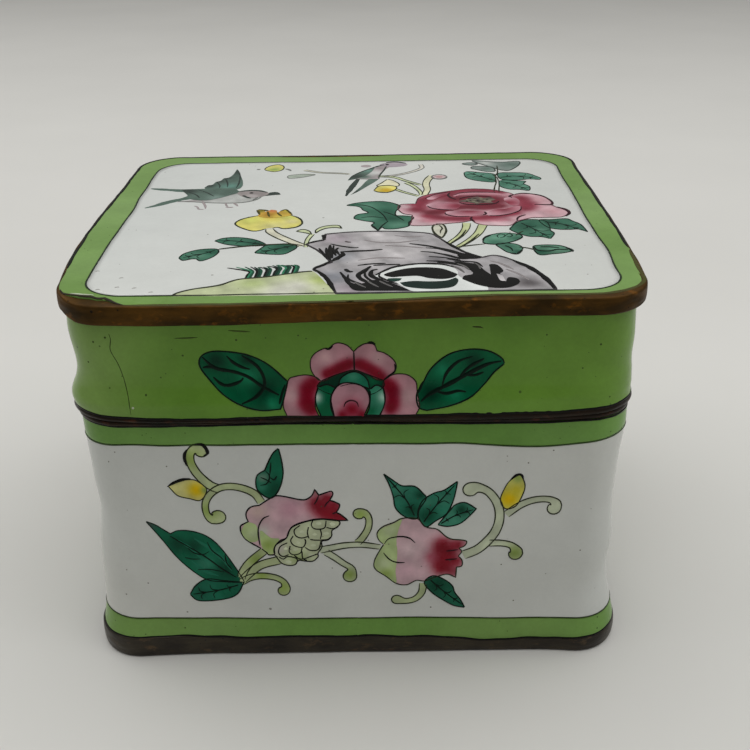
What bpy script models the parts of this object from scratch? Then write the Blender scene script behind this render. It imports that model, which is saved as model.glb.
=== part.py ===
"""A small lidded box of copper sheet, coated inside and out with fired enamel, with bare metal rims.

Metres, +Z up. The origin is the middle of the foot's underside and the front faces -Y. The box
is two bodies: a base that stands on the foot, and a lid that drops over the base's collar and
lifts straight off. Every wall is a strip bent round the same rounded rectangle, so a wall is
drawn once, as a closed section of (inset, height) points, and swept round the lid's outline.
An inset is measured inwards from that outline. Heights count from the foot in the base and
from the mouth in the lid.
"""

from math import cos, pi, sin

import bpy

MM = 0.001

# Outline of the lid's top, the widest part of the box
LENGTH = 104.0 * MM
DEPTH = 95.0 * MM
CORNER_RADIUS = 10.0 * MM
CORNER_STEPS = 6

# Sheet, coats, and the gap that keeps separate solids apart
SHEET = 0.7 * MM
PLATE = 0.8 * MM
OUTER_COAT = 0.4 * MM
INNER_COAT = 0.35 * MM
GAP = 0.3 * MM
CHAMFER = 0.12 * MM

# Base, heights from the underside of the foot
BASE_HEIGHT = 51.7 * MM
BASE_INSET = 1.85 * MM
BASE_BULGE = 0.7 * MM
FOOT_FLARE = 1.2 * MM
FOOT_FLARE_TOP = 9.5 * MM
FOOT_BAND_HEIGHT = 3.6 * MM
FOOT_BAND_INSET = 0.4 * MM
FOOT_BAND_LIP = 0.65 * MM
FOOT_LEDGE_WIDTH = 1.7 * MM
FOOT_LEDGE_HEIGHT = 1.9 * MM
LOWER_GREEN_TOP = 7.9 * MM
UPPER_GREEN_HEIGHT = 3.4 * MM
COLLAR_RISE = 4.8 * MM
COLLAR_HEIGHT = 12.5 * MM
COLLAR_SHEET = 0.8 * MM

# Lid, heights from its mouth
LID_HEIGHT = 23.0 * MM
LID_INSET = 1.85 * MM
LID_FLARE = 1.4 * MM
LID_FLARE_START = 8.0 * MM
LID_FLARE_END = 2.0 * MM
TOP_COAT = 0.5 * MM
BORDER_WIDTH = 4.4 * MM
EDGE_BAND_HEIGHT = 3.35 * MM
EDGE_BAND_LIP = 0.7 * MM
EDGE_BAND_WIDTH = 1.4 * MM

RIM_HEIGHT = 0.8 * MM
RIM_PROUD = 0.1 * MM

# Depths of each layer behind a wall's outer face
COPPER_DEPTH = OUTER_COAT + GAP
INNER_COAT_DEPTH = COPPER_DEPTH + SHEET + GAP
WALL_THICKNESS = INNER_COAT_DEPTH + INNER_COAT

# Heights that follow from the ones above
LID_MOUTH = BASE_HEIGHT + GAP
WALL_START = RIM_HEIGHT + GAP
PLATE_TOP = LID_HEIGHT - TOP_COAT - GAP
CEILING_TOP = PLATE_TOP - PLATE - GAP
FLOOR_BOTTOM = FOOT_LEDGE_HEIGHT + GAP
FLOOR_TOP = FLOOR_BOTTOM + PLATE
BASE_WALL_START = FLOOR_TOP + GAP
BASE_WALL_END = BASE_HEIGHT - RIM_HEIGHT - GAP
COLLAR_TOP = BASE_HEIGHT + COLLAR_RISE
COLLAR_BOTTOM = COLLAR_TOP - COLLAR_HEIGHT

COLOURS = {
    "bare_metal": ((0.13, 0.07, 0.03, 1), 0.45, 0.9),
    "copper_sheet": ((0.42, 0.20, 0.11, 1), 0.4, 0.9),
    "green_enamel": ((0.20, 0.36, 0.08, 1), 0.2, 0.0),
    "white_enamel": ((0.72, 0.73, 0.70, 1), 0.2, 0.0),
    "inner_enamel": ((0.25, 0.55, 0.55, 1), 0.3, 0.0),
}


def new_collection(name):
    collection = bpy.data.collections.new(name)
    bpy.context.scene.collection.children.link(collection)
    return collection


def make_material(name):
    colour, roughness, metallic = COLOURS[name]
    material = bpy.data.materials.new(name)
    material.use_nodes = True
    shader = material.node_tree.nodes["Principled BSDF"]
    shader.inputs["Base Color"].default_value = colour
    shader.inputs["Roughness"].default_value = roughness
    shader.inputs["Metallic"].default_value = metallic
    return material


def smooth_step(share):
    share = min(max(share, 0.0), 1.0)
    return share * share * (3 - 2 * share)


def base_inset(height):
    """Outer face of the base: a slight belly, which flares out into the foot."""
    belly = BASE_BULGE * sin(pi * height / BASE_HEIGHT)
    flare = FOOT_FLARE * smooth_step((FOOT_FLARE_TOP - height) / (FOOT_FLARE_TOP - FOOT_BAND_HEIGHT))
    return BASE_INSET - belly - flare


def lid_inset(height):
    """Outer face of the lid's wall: upright, then flared outwards at the mouth."""
    flare = (LID_FLARE_START - height) / (LID_FLARE_START - LID_FLARE_END)
    return LID_INSET - LID_FLARE * smooth_step(flare)


def rounded_outline(inset):
    """Points round the lid's outline, moved inwards by the inset, anticlockwise from above."""
    radius = CORNER_RADIUS - inset
    reach_x = LENGTH / 2 - CORNER_RADIUS
    reach_y = DEPTH / 2 - CORNER_RADIUS
    points = []
    for corner, (side_x, side_y) in enumerate(((1, 1), (-1, 1), (-1, -1), (1, -1))):
        for step in range(CORNER_STEPS + 1):
            angle = (corner + step / CORNER_STEPS) * pi / 2
            points.append((side_x * reach_x + radius * cos(angle), side_y * reach_y + radius * sin(angle)))
    return points


def polygon_curve(name, points):
    """A flat closed curve through the points."""
    curve = bpy.data.curves.new(name, "CURVE")
    curve.dimensions = "2D"
    spline = curve.splines.new("POLY")
    spline.points.add(len(points) - 1)
    for point, (x, y) in zip(spline.points, points):
        point.co = (x, y, 0, 1)
    spline.use_cyclic_u = True
    return curve


def add_node(name, curve, material, body, height=0.0):
    node = bpy.data.objects.new(name, curve)
    node.location.z = height
    node.parent = body
    curve.materials.append(materials[material])
    box.objects.link(node)
    return node


def sweep(name, section, material, body):
    """A ring: the closed (inset, height) section carried round the lid's outline."""
    profile = bpy.data.objects.new(name + "_section", polygon_curve(name + "_section", section))
    profile.hide_render = True
    profile.display_type = "WIRE"
    guides.objects.link(profile)
    path = polygon_curve(name, rounded_outline(0.0))
    path.fill_mode = "NONE"
    path.bevel_mode = "OBJECT"
    path.bevel_object = profile
    return add_node(name, path, material, body)


def flat_sheet(name, inset, bottom, thickness, material, body):
    """A flat plate with the outline's rounded corners."""
    outline = polygon_curve(name, rounded_outline(inset))
    outline.fill_mode = "BOTH"
    outline.extrude = thickness / 2
    return add_node(name, outline, material, body, height=bottom + thickness / 2)


def wall_section(face, depth, thickness, bottom, top, steps):
    """One layer of a wall: it starts at a depth behind the outer face and follows its curve."""
    heights = [bottom + (top - bottom) * step / steps for step in range(steps + 1)]
    outside = [(face(height) + depth, height) for height in heights]
    inside = [(inset + thickness, height) for inset, height in reversed(outside)]
    return outside + inside


def strip_section(inset, width, bottom, top):
    """A flat strip with its four edges taken off."""
    inner = inset + width
    return [
        (inset, bottom + CHAMFER),
        (inset, top - CHAMFER),
        (inset + CHAMFER, top),
        (inner - CHAMFER, top),
        (inner, top - CHAMFER),
        (inner, bottom + CHAMFER),
        (inner - CHAMFER, bottom),
        (inset + CHAMFER, bottom),
    ]


def ledge_section(inset, lip, width, bottom, ledge, top):
    """A strip with a wider foot inside it, on which the edge of a plate lies."""
    return [
        (inset, bottom + CHAMFER),
        (inset, top - CHAMFER),
        (inset + CHAMFER, top),
        (inset + lip, top),
        (inset + lip, ledge),
        (inset + width, ledge),
        (inset + width, bottom),
        (inset + CHAMFER, bottom),
    ]


def add_base(body):
    sweep(
        "foot_band",
        ledge_section(
            FOOT_BAND_INSET, FOOT_BAND_LIP, FOOT_LEDGE_WIDTH, 0.0, FOOT_LEDGE_HEIGHT, FOOT_BAND_HEIGHT
        ),
        "bare_metal",
        body,
    )
    floor_inset = FOOT_BAND_INSET + FOOT_BAND_LIP + GAP
    flat_sheet("base_floor_plate", floor_inset, FLOOR_BOTTOM, PLATE, "copper_sheet", body)
    underside_inset = FOOT_BAND_INSET + FOOT_LEDGE_WIDTH + GAP
    underside_bottom = FOOT_LEDGE_HEIGHT - INNER_COAT
    flat_sheet("base_underside_enamel", underside_inset, underside_bottom, INNER_COAT, "inner_enamel", body)
    floor_coat_inset = base_inset(BASE_WALL_START) + COPPER_DEPTH + SHEET + GAP
    flat_sheet("base_floor_enamel", floor_coat_inset, BASE_WALL_START, INNER_COAT, "inner_enamel", body)

    def layer(name, depth, thickness, bottom, top, steps, material):
        section = wall_section(base_inset, depth, thickness, bottom, top, steps)
        sweep(name, section, material, body)

    layer("base_wall", COPPER_DEPTH, SHEET, BASE_WALL_START, BASE_WALL_END, 9, "copper_sheet")
    inner_bottom = BASE_WALL_START + INNER_COAT + GAP
    inner_top = COLLAR_BOTTOM - GAP
    layer("base_inner_enamel", INNER_COAT_DEPTH, INNER_COAT, inner_bottom, inner_top, 7, "inner_enamel")
    white_bottom = LOWER_GREEN_TOP + GAP
    white_top = BASE_WALL_END - UPPER_GREEN_HEIGHT - GAP
    layer("base_wall_enamel", 0, OUTER_COAT, white_bottom, white_top, 8, "white_enamel")
    layer("base_upper_green_enamel", 0, OUTER_COAT, white_top + GAP, BASE_WALL_END, 2, "green_enamel")
    green_bottom = FOOT_BAND_HEIGHT + GAP
    layer("base_lower_green_enamel", 0, OUTER_COAT, green_bottom, LOWER_GREEN_TOP, 3, "green_enamel")

    mouth_inset = base_inset(BASE_WALL_END)
    rim_inset = mouth_inset - RIM_PROUD
    rim_width = RIM_PROUD + COPPER_DEPTH + SHEET
    rim = strip_section(rim_inset, rim_width, BASE_HEIGHT - RIM_HEIGHT, BASE_HEIGHT)
    sweep("base_rim_wire", rim, "bare_metal", body)
    collar_inset = rim_inset + rim_width + GAP
    collar = strip_section(collar_inset, COLLAR_SHEET, COLLAR_BOTTOM, COLLAR_TOP)
    sweep("base_collar", collar, "bare_metal", body)


def add_lid(body):
    band_bottom = LID_HEIGHT - EDGE_BAND_HEIGHT
    band_ledge = PLATE_TOP - PLATE - GAP
    band = ledge_section(0.0, EDGE_BAND_LIP, EDGE_BAND_WIDTH, band_bottom, band_ledge, LID_HEIGHT)
    sweep("lid_edge_band", band, "bare_metal", body)
    plate_inset = EDGE_BAND_LIP + GAP
    flat_sheet("lid_top_plate", plate_inset, PLATE_TOP - PLATE, PLATE, "copper_sheet", body)
    border = strip_section(plate_inset, BORDER_WIDTH, LID_HEIGHT - TOP_COAT, LID_HEIGHT)
    sweep("lid_border_enamel", border, "green_enamel", body)
    panel_inset = plate_inset + BORDER_WIDTH + GAP
    flat_sheet("lid_panel_enamel", panel_inset, LID_HEIGHT - TOP_COAT, TOP_COAT, "white_enamel", body)
    ceiling_inset = lid_inset(CEILING_TOP) + INNER_COAT_DEPTH
    ceiling_bottom = CEILING_TOP - INNER_COAT
    flat_sheet("lid_ceiling_enamel", ceiling_inset, ceiling_bottom, INNER_COAT, "inner_enamel", body)

    def layer(name, depth, thickness, top, material):
        section = wall_section(lid_inset, depth, thickness, WALL_START, top, steps=7)
        sweep(name, section, material, body)

    layer("lid_wall", COPPER_DEPTH, SHEET, CEILING_TOP, "copper_sheet")
    layer("lid_wall_enamel", 0, OUTER_COAT, band_bottom - GAP, "green_enamel")
    layer("lid_inner_enamel", INNER_COAT_DEPTH, INNER_COAT, ceiling_bottom - GAP, "inner_enamel")

    rim_inset = lid_inset(0) - RIM_PROUD
    rim = strip_section(rim_inset, RIM_PROUD + WALL_THICKNESS, 0.0, RIM_HEIGHT)
    sweep("lid_rim_wire", rim, "bare_metal", body)


def add_body(name, height):
    """An empty on the axis along which the lid lifts off."""
    body = bpy.data.objects.new(name, None)
    body.location.z = height
    box.objects.link(body)
    return body


for leftover in list(bpy.data.objects):
    bpy.data.objects.remove(leftover)
box = new_collection("enamel_box")
guides = new_collection("section_guides")
materials = {name: make_material(name) for name in COLOURS}
add_base(add_body("base", 0.0))
add_lid(add_body("lid", LID_MOUTH))
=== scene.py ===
"""A small lidded copper box, enamelled inside and out and painted with flowers, fruit and birds.

The CAD model is the frame: it gives the box's outline, the heights of its rims and the shape of its
walls. Every coat and metal band is built again here as a finer, slightly uneven surface that takes the
place of its CAD node. The painting is geometry too: low mounds of colour and beads of line that follow
the coat they lie on. All sizes are in millimetres until a mesh is made.
"""

import math

import bpy
import numpy as np
from mathutils import Matrix, Vector
from mathutils.geometry import delaunay_2d_cdt


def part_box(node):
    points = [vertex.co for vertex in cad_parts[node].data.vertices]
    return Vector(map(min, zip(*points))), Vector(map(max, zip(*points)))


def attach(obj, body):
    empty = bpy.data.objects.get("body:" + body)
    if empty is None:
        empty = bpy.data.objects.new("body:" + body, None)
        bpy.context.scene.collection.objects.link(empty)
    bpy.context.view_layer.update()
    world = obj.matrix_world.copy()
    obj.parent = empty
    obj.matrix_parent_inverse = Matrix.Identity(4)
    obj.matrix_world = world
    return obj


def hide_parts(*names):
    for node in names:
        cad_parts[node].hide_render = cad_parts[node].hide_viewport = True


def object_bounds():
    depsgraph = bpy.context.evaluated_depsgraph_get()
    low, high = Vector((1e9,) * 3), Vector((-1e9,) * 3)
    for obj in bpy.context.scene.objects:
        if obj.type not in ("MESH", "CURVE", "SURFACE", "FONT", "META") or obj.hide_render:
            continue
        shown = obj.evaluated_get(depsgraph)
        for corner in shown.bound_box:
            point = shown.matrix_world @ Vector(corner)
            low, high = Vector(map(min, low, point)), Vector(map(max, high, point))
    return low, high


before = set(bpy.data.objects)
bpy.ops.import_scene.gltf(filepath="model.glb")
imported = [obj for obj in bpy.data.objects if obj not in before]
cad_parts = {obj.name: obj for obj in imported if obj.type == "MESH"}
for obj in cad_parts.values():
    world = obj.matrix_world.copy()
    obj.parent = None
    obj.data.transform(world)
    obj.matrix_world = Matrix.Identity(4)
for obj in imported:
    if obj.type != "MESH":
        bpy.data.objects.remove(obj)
cad_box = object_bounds()

MM = 0.001
CORNER_RADIUS = 10.0
WALL_INSET = 1.5

# How thick the coats and the sheet are, and how deep they lie behind the outer coat's face
COAT_THICKNESS = 0.42
SHEET_DEPTH = 0.45
SHEET_THICKNESS = 1.2
LINING_BACK = 1.75
LINING_FACE = 2.05
SEAM_GAP = 0.02

# How far the painting stands above its coat: a step for each level, then its fills and lines. A
# line's edges are sunk into the coat.
PAINT_LEVEL = 0.05
FILL_LIFT = 0.012
FILL_SWELL = 0.02
LINE_LIFT = 0.025
LINE_CREST = 0.02
LINE_FOOT = -0.02

# The outline from the middle of the front, anticlockwise: straight stretches and corners in turn
HALF_X, HALF_Y, TOP = cad_box[1] / MM
FLAT_X = HALF_X - CORNER_RADIUS
FLAT_Y = HALF_Y - CORNER_RADIUS
CORNER_LENGTH = (CORNER_RADIUS - WALL_INSET) * math.pi / 2
STRETCHES = np.array([FLAT_X, CORNER_LENGTH, 2 * FLAT_Y, CORNER_LENGTH, 2 * FLAT_X])
STRETCHES = np.append(STRETCHES, [CORNER_LENGTH, 2 * FLAT_Y, CORNER_LENGTH, FLAT_X])
KNOTS = np.append(0, np.cumsum(STRETCHES))
PERIMETER = KNOTS[-1]
KNOT_ANGLES = np.radians([-90, -90, 0, 0, 90, 90, 180, 180, 270, 270])
KNOT_X = np.array([0, 1, 1, 1, 1, -1, -1, -1, -1, 0])
KNOT_Y = np.array([-1, -1, -1, 1, 1, 1, 1, -1, -1, -1])

# Distances round the outline to the middle of each side
FRONT = 0.0
RIGHT = FLAT_X + CORNER_LENGTH + FLAT_Y
BACK = PERIMETER / 2
LEFT = PERIMETER - RIGHT

# Colours of the fired enamels and of the metal, as sRGB
WHITE = (213, 215, 210)
LID_GREEN = (108, 151, 55)
BASE_GREEN = (113, 157, 74)
BORDER_GREEN = (120, 154, 84)
TURQUOISE = (120, 185, 180)
INK = (14, 14, 12)
GREY = (120, 122, 118)
OLIVE_INK = (46, 50, 32)
LEAF_INK = (4, 26, 16)
PLUM = (52, 22, 30)

# On the lid's top
LEAF = (60, 108, 87)
LEAF_DARK = (36, 82, 64)
LEAF_LIGHT = (86, 131, 110)
PINK = (193, 148, 154)
PINK_PALE = (206, 184, 184)
CRIMSON = (128, 46, 61)
CRIMSON_DEEP = (108, 36, 48)
YELLOW = (219, 211, 122)
AMBER = (196, 158, 36)
STALK = (194, 203, 162)
ROCK = (166, 163, 164)
ROCK_MAUVE = (162, 152, 158)
ROCK_PALE = (192, 188, 188)
ROCK_DARK = (132, 129, 132)
FEATHER = (86, 106, 96)
FEATHER_DARK = (52, 62, 57)
FEATHER_PALE = (200, 202, 198)
MAUVE = (160, 150, 150)

# On the walls
WALL_LEAF = (15, 103, 74)
WALL_LEAF_DARK = (4, 66, 46)
WALL_LEAF_LIGHT = (52, 128, 102)
PETAL = (182, 134, 143)
PETAL_PALE = (200, 160, 164)
PETAL_RED = (124, 6, 30)
FRUIT = (207, 174, 181)
FRUIT_GREEN = (178, 197, 138)
FRUIT_PALE = (190, 204, 160)
CROWN_RED = (132, 20, 36)
VINE = (182, 194, 148)
VINE_PALE = (193, 201, 174)
VINE_DEEP = (146, 168, 88)
BUD = (210, 208, 112)


def height_of(node, top=False):
    """Lowest or highest height of a CAD node."""
    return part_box(node)[1 if top else 0].z / MM


def heights_of(node):
    """Lowest and highest height of a CAD node."""
    return height_of(node), height_of(node, True)


def inset_of(node):
    """How far the outer face of a CAD node lies inside the box's outline."""
    return HALF_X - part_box(node)[1].x / MM


# ---------------------------------------------------------------- curves and uneven surfaces


def smooth_line(points, step=0.4, before=None, after=None):
    """Points about a step apart on a smooth curve through the given ones."""
    points = np.array(points, float)
    before = 2 * points[0] - points[1] if before is None else before
    after = 2 * points[-1] - points[-2] if after is None else after
    ends = np.vstack([before, points, after])
    pieces = []
    for a, b, c, d in zip(ends[:-3], ends[1:-2], ends[2:-1], ends[3:]):
        count = max(2, math.ceil(np.linalg.norm(c - b) / step))
        t = np.linspace(0, 1, count, endpoint=False)[:, None]
        curve = 2 * b + (c - a) * t + (2 * a - 5 * b + 4 * c - d) * t**2
        pieces.append((curve + (3 * b - a - 3 * c + d) * t**3) / 2)
    return np.vstack(pieces + [points[-1:]])


def smooth_outline(points, step=0.4):
    """A closed smooth curve through the points. A third value marks a point as a sharp corner."""
    places = [point[:2] for point in points]
    corners = [index for index, point in enumerate(points) if len(point) == 3]
    if not corners:
        return smooth_line(places + places[:1], step, places[-1], places[1])[:-1]
    places = places[corners[0] :] + places[: corners[0] + 1]
    stops = [corner - corners[0] for corner in corners] + [len(points)]
    return np.vstack([smooth_line(places[a : b + 1], step)[:-1] for a, b in zip(stops, stops[1:])])


def ripple(x, y, seed):
    """A smooth uneven value between about -1 and 1, always the same for the same seed."""
    draw = np.random.default_rng(seed)
    total = 0
    for wave in range(5):
        angle, phase = draw.uniform(0, 2 * math.pi, 2)
        number = 1 + 0.6 * wave
        total = total + np.sin(number * (x * math.cos(angle) + y * math.sin(angle)) + phase) / number
    return total / 1.8


def round_ripple(s, turns, seed):
    """The same along the outline, meeting itself after one turn."""
    angle = 2 * math.pi * s / PERIMETER
    return ripple(turns * np.cos(angle), turns * np.sin(angle), seed)


def outline_point(s, inset):
    """The point at a distance along the box's outline from the middle of the front, moved inwards."""
    s = np.mod(s, PERIMETER)
    angle = np.interp(s, KNOTS, KNOT_ANGLES)
    radius = CORNER_RADIUS - inset
    x = np.interp(s, KNOTS, FLAT_X * KNOT_X) + radius * np.cos(angle)
    y = np.interp(s, KNOTS, FLAT_Y * KNOT_Y) + radius * np.sin(angle)
    return x, y


def wall_profile(*nodes):
    """The inset of a wall's outer face at any height, read from the CAD coats that lie on it."""
    widest = {}
    for node in nodes:
        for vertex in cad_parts[node].data.vertices:
            height = round(vertex.co.z / MM, 2)
            widest[height] = max(widest.get(height, 0), vertex.co.x / MM)
    known = sorted(widest)
    heights = np.linspace(known[0], known[-1], 16)
    insets = [HALF_X - x for x in np.interp(heights, known, [widest[height] for height in known])]
    rows = smooth_line(list(zip(heights, insets)), 0.5)
    return lambda z: np.interp(z, rows[:, 0], rows[:, 1])


base_profile = wall_profile("base_lower_green_enamel", "base_wall_enamel", "base_upper_green_enamel")
lid_profile = wall_profile("lid_wall_enamel")


def uneven(s, z, size, seed):
    """The gentle dents of beaten sheet on a wall."""
    x, y = outline_point(s, WALL_INSET)
    return size * ripple((x + y) / 13, (x - y) / 40 + z / 9, seed)


def near(s, middle, width):
    """1 at one place on the outline, falling softly to 0 at a few widths away."""
    away = np.mod(s - middle + BACK, PERIMETER) - BACK
    return np.exp(-((away / width) ** 2))


def hump(z, middle, width):
    """The same up a wall: 1 at one height, falling softly above and below."""
    return np.exp(-(((z - middle) / width) ** 2))


def lid_skew(s):
    """How far the hand-made lid's edge lies inside a true outline, corner by corner and side by side."""
    corners = 1.0 * near(s, -52, 11) + 0.5 * near(s, 52, 10) - 0.5 * near(s, 138, 9)
    return corners - 0.95 * near(s, LEFT + 8, 26) - 0.5 * near(s, RIGHT, 40)


def foot_corners(s):
    """How far the foot's front corners stand out beyond the rounded outline."""
    return 0.7 * near(s, -46, 6) + 0.7 * near(s, 46, 6)


def front_dip(x, y):
    """How far the lid's top falls away along its front edge, more at the left than at the right."""
    return 0.5 * np.clip((-43.2 - y) / 3, 0, 1) * np.clip((20 - x) / 40, 0, 1)


def mouth_lift(s):
    """How far the seam between the base and the lid rises at its front corners."""
    return 0.6 * near(s, 47, 9) + 0.5 * near(s, -48, 7)


def waist(s, z):
    """How far the base's sides and back are drawn in between mouth and foot."""
    deep = 1.3 * hump(z, 34, np.where(z > 34, 13, 17))
    right = 0.4 * hump(z, 30, 5) + 1.1 * hump(z, 15.5, 5) - 0.5 * hump(z, 48, 5)
    left = 0.85 * hump(z, 30.5, 4.5)
    return (deep + right * near(s, 55, 25) + left * near(s, -58, 20)) * (1 - near(s, FRONT, 38))


def lid_lift(s):
    """How far the lid's coat rises over the seam, which is thin at the left of the front."""
    return mouth_lift(s) - 0.35 * near(s, -30, 15)


def base_face(s, z):
    """Inset of the base's enamelled face."""
    flare = foot_corners(s) * np.clip((13 - z) / 8, 0, 1)
    return base_profile(z) + waist(s, z) + uneven(s, z, 0.10, 4) - flare


def lid_face(s, z):
    """Inset of the lid's enamelled face, whose mouth flares more at the left than at the right."""
    left = 0.7 * np.clip((z - 54) / 6, 0, 1) + 0.8 * hump(z, 53, 1.5) - 0.7 * hump(z, 68, 4.5)
    right = 0.85 * np.clip((58.3 - z) / 3.2, 0, 1) - 0.2 * hump(z, 65, 3)
    side = -0.4 * near(s, LEFT, 30) * np.clip((58 - z) / 6, 0, 1)
    flare = left * near(s, -52, 16)
    return lid_profile(z) + flare + right * near(s, 52, 14) + side + uneven(s, z, 0.08, 8)


def top_height(x, y):
    """Height of the lid's top, slightly hollow and uneven."""
    hollow = 0.25 * np.clip(1 - (x / HALF_X) ** 2, 0, 1) * np.clip(1 - (y / HALF_Y) ** 2, 0, 1)
    return TOP - 0.02 - hollow - front_dip(x, y) + 0.04 * ripple(x / 16, y / 16, 11)


# ---------------------------------------------------------------- materials


def to_linear(colour):
    """sRGB values of 0 to 255 as linear shares of 0 to 1."""
    share = np.array(colour, float) / 255
    return np.where(share <= 0.04045, share / 12.92, ((share + 0.055) / 1.055) ** 2.4)


class Nodes:
    """A material's node tree, with short calls to add and join nodes."""

    def __init__(self, name):
        self.material = bpy.data.materials.new(name)
        self.material.use_nodes = True
        self.tree = self.material.node_tree
        self.shader = self.tree.nodes["Principled BSDF"]
        self.place = self.add("TexCoord").outputs["Object"]

    def add(self, kind, **settings):
        """A new shader node with its settings."""
        node = self.tree.nodes.new("ShaderNode" + kind)
        for name, value in settings.items():
            setattr(node, name, value)
        return node

    def put(self, socket, value):
        """A link if the value is another node's output, a setting if it is a number."""
        if isinstance(value, bpy.types.NodeSocket):
            self.tree.links.new(value, socket)
        else:
            socket.default_value = value

    def noise(self, scale, detail=4.0, stretch=(1, 1, 1), roughness=0.55):
        """Cloudy noise in the object's own space, in features per metre, stretched along its axes."""
        mapping = self.add("Mapping")
        self.put(mapping.inputs["Vector"], self.place)
        mapping.inputs["Scale"].default_value = stretch
        noise = self.add("TexNoise")
        self.put(noise.inputs["Vector"], mapping.outputs["Vector"])
        noise.inputs["Scale"].default_value = scale
        noise.inputs["Detail"].default_value = detail
        noise.inputs["Roughness"].default_value = roughness
        return noise.outputs["Fac"]

    def span(self, value, low, high, new_low=0.0, new_high=1.0):
        """The value moved from one range to another."""
        node = self.add("MapRange", clamp=True)
        ends = (value, low, high, new_low, new_high)
        for name, end in zip(("Value", "From Min", "From Max", "To Min", "To Max"), ends):
            self.put(node.inputs[name], end)
        return node.outputs["Result"]

    def math(self, operation, first, second):
        """The result of one arithmetic step on two values."""
        node = self.add("Math", operation=operation)
        self.put(node.inputs[0], first)
        self.put(node.inputs[1], second)
        return node.outputs["Value"]

    def mix(self, share, first, second, blend="MIX"):
        """One colour over another by a share. A tuple is an sRGB colour."""
        node = self.add("Mix", data_type="RGBA", blend_type=blend)
        self.put(node.inputs["Factor"], share)
        for socket, value in ((node.inputs["A"], first), (node.inputs["B"], second)):
            is_colour = isinstance(value, tuple)
            self.put(socket, (*to_linear(value), 1) if is_colour else value)
        return node.outputs["Result"]

    def specks(self, scale, share, size):
        """1 in a few small round spots and 0 elsewhere: the pits and dirt specks of a fired coat."""
        cells = self.add("TexVoronoi", feature="F1")
        self.put(cells.inputs["Vector"], self.place)
        cells.inputs["Scale"].default_value = scale
        draw = self.add("SeparateColor")
        self.put(draw.inputs["Color"], cells.outputs["Color"])
        chosen = self.math("LESS_THAN", draw.outputs["Red"], share)
        reach = self.math("MULTIPLY", draw.outputs["Green"], size)
        spot = self.span(self.math("SUBTRACT", reach, cells.outputs["Distance"]), 0.0, 0.03)
        return self.math("MULTIPLY", chosen, spot)

    def bump(self, height, distance, strength):
        """Small relief on the surface, as deep as distance in metres."""
        node = self.add("Bump")
        node.inputs["Strength"].default_value = strength
        node.inputs["Distance"].default_value = distance
        self.put(node.inputs["Height"], height)
        self.put(self.shader.inputs["Normal"], node.outputs["Normal"])


def enamel_material(name, roughness, mottle, speck_share, speck_colour, gloss=0.22):
    """Fired enamel: the colour laid on each point, clouded and specked, under a wavy glossy skin."""
    nodes = Nodes(name)
    laid = nodes.add("Attribute", attribute_name="paint").outputs["Color"]
    cloud = nodes.span(nodes.noise(140, 5), 0.3, 0.7, 1 - mottle, 1 + mottle * 0.6)
    grain = nodes.span(nodes.noise(1500, 3), 0.25, 0.75, 1 - mottle * 0.6, 1 + mottle * 0.3)
    shade = nodes.math("MULTIPLY", cloud, grain)
    tone = nodes.add("CombineColor")
    for channel in ("Red", "Green", "Blue"):
        nodes.put(tone.inputs[channel], shade)
    colour = nodes.mix(1.0, laid, tone.outputs["Color"], "MULTIPLY")
    coarse, fine = nodes.specks(650, speck_share, 0.2), nodes.specks(1300, speck_share, 0.26)
    specks = nodes.math("MAXIMUM", coarse, fine)
    colour = nodes.mix(nodes.math("MULTIPLY", specks, 0.7), colour, speck_colour)
    nodes.put(nodes.shader.inputs["Base Color"], colour)
    smear = nodes.span(nodes.noise(260, 4), 0.3, 0.75, roughness * 0.75, roughness * 1.5)
    nodes.put(nodes.shader.inputs["Roughness"], smear)
    nodes.shader.inputs["IOR"].default_value = 1.45
    nodes.shader.inputs["Specular IOR Level"].default_value = gloss
    skin = nodes.math("ADD", nodes.noise(190, 2), nodes.math("MULTIPLY", nodes.noise(900, 3), 0.12))
    nodes.bump(nodes.math("SUBTRACT", skin, nodes.math("MULTIPLY", specks, 0.5)), 0.00012, 0.5)
    return nodes.material


def metal_material(name, dark, brown, rust, rough, gloss=0.5):
    """Patinated copper: dark and brown patches, warm spots, and rubbed streaks along the strip."""
    nodes = Nodes(name)
    patches = nodes.span(nodes.noise(110, 6, (1, 1, 2.2)), 0.38, 0.62)
    colour = nodes.mix(patches, dark, brown)
    warm = nodes.span(nodes.noise(330, 5, (1, 1, 1.6), 0.65), 0.56, 0.70)
    colour = nodes.mix(nodes.math("MULTIPLY", warm, 0.8), colour, rust)
    streaks = nodes.span(nodes.noise(380, 4, (0.25, 0.25, 4)), 0.35, 0.75)
    colour = nodes.mix(nodes.math("MULTIPLY", streaks, 0.35), colour, dark)
    specks = nodes.specks(900, 0.16, 0.3)
    colour = nodes.mix(nodes.math("MULTIPLY", specks, 0.8), colour, INK)
    nodes.put(nodes.shader.inputs["Base Color"], colour)
    nodes.shader.inputs["Metallic"].default_value = 0.45
    nodes.shader.inputs["Specular IOR Level"].default_value = gloss
    smear = nodes.span(nodes.noise(500, 5, (0.5, 0.5, 3)), 0.3, 0.75, rough * 0.75, rough * 1.35)
    nodes.put(nodes.shader.inputs["Roughness"], smear)
    wear = nodes.math("MULTIPLY", nodes.noise(420, 6, (0.6, 0.6, 2)), 1.4)
    nodes.bump(nodes.math("SUBTRACT", wear, specks), 0.00018, 0.6)
    return nodes.material


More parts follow.
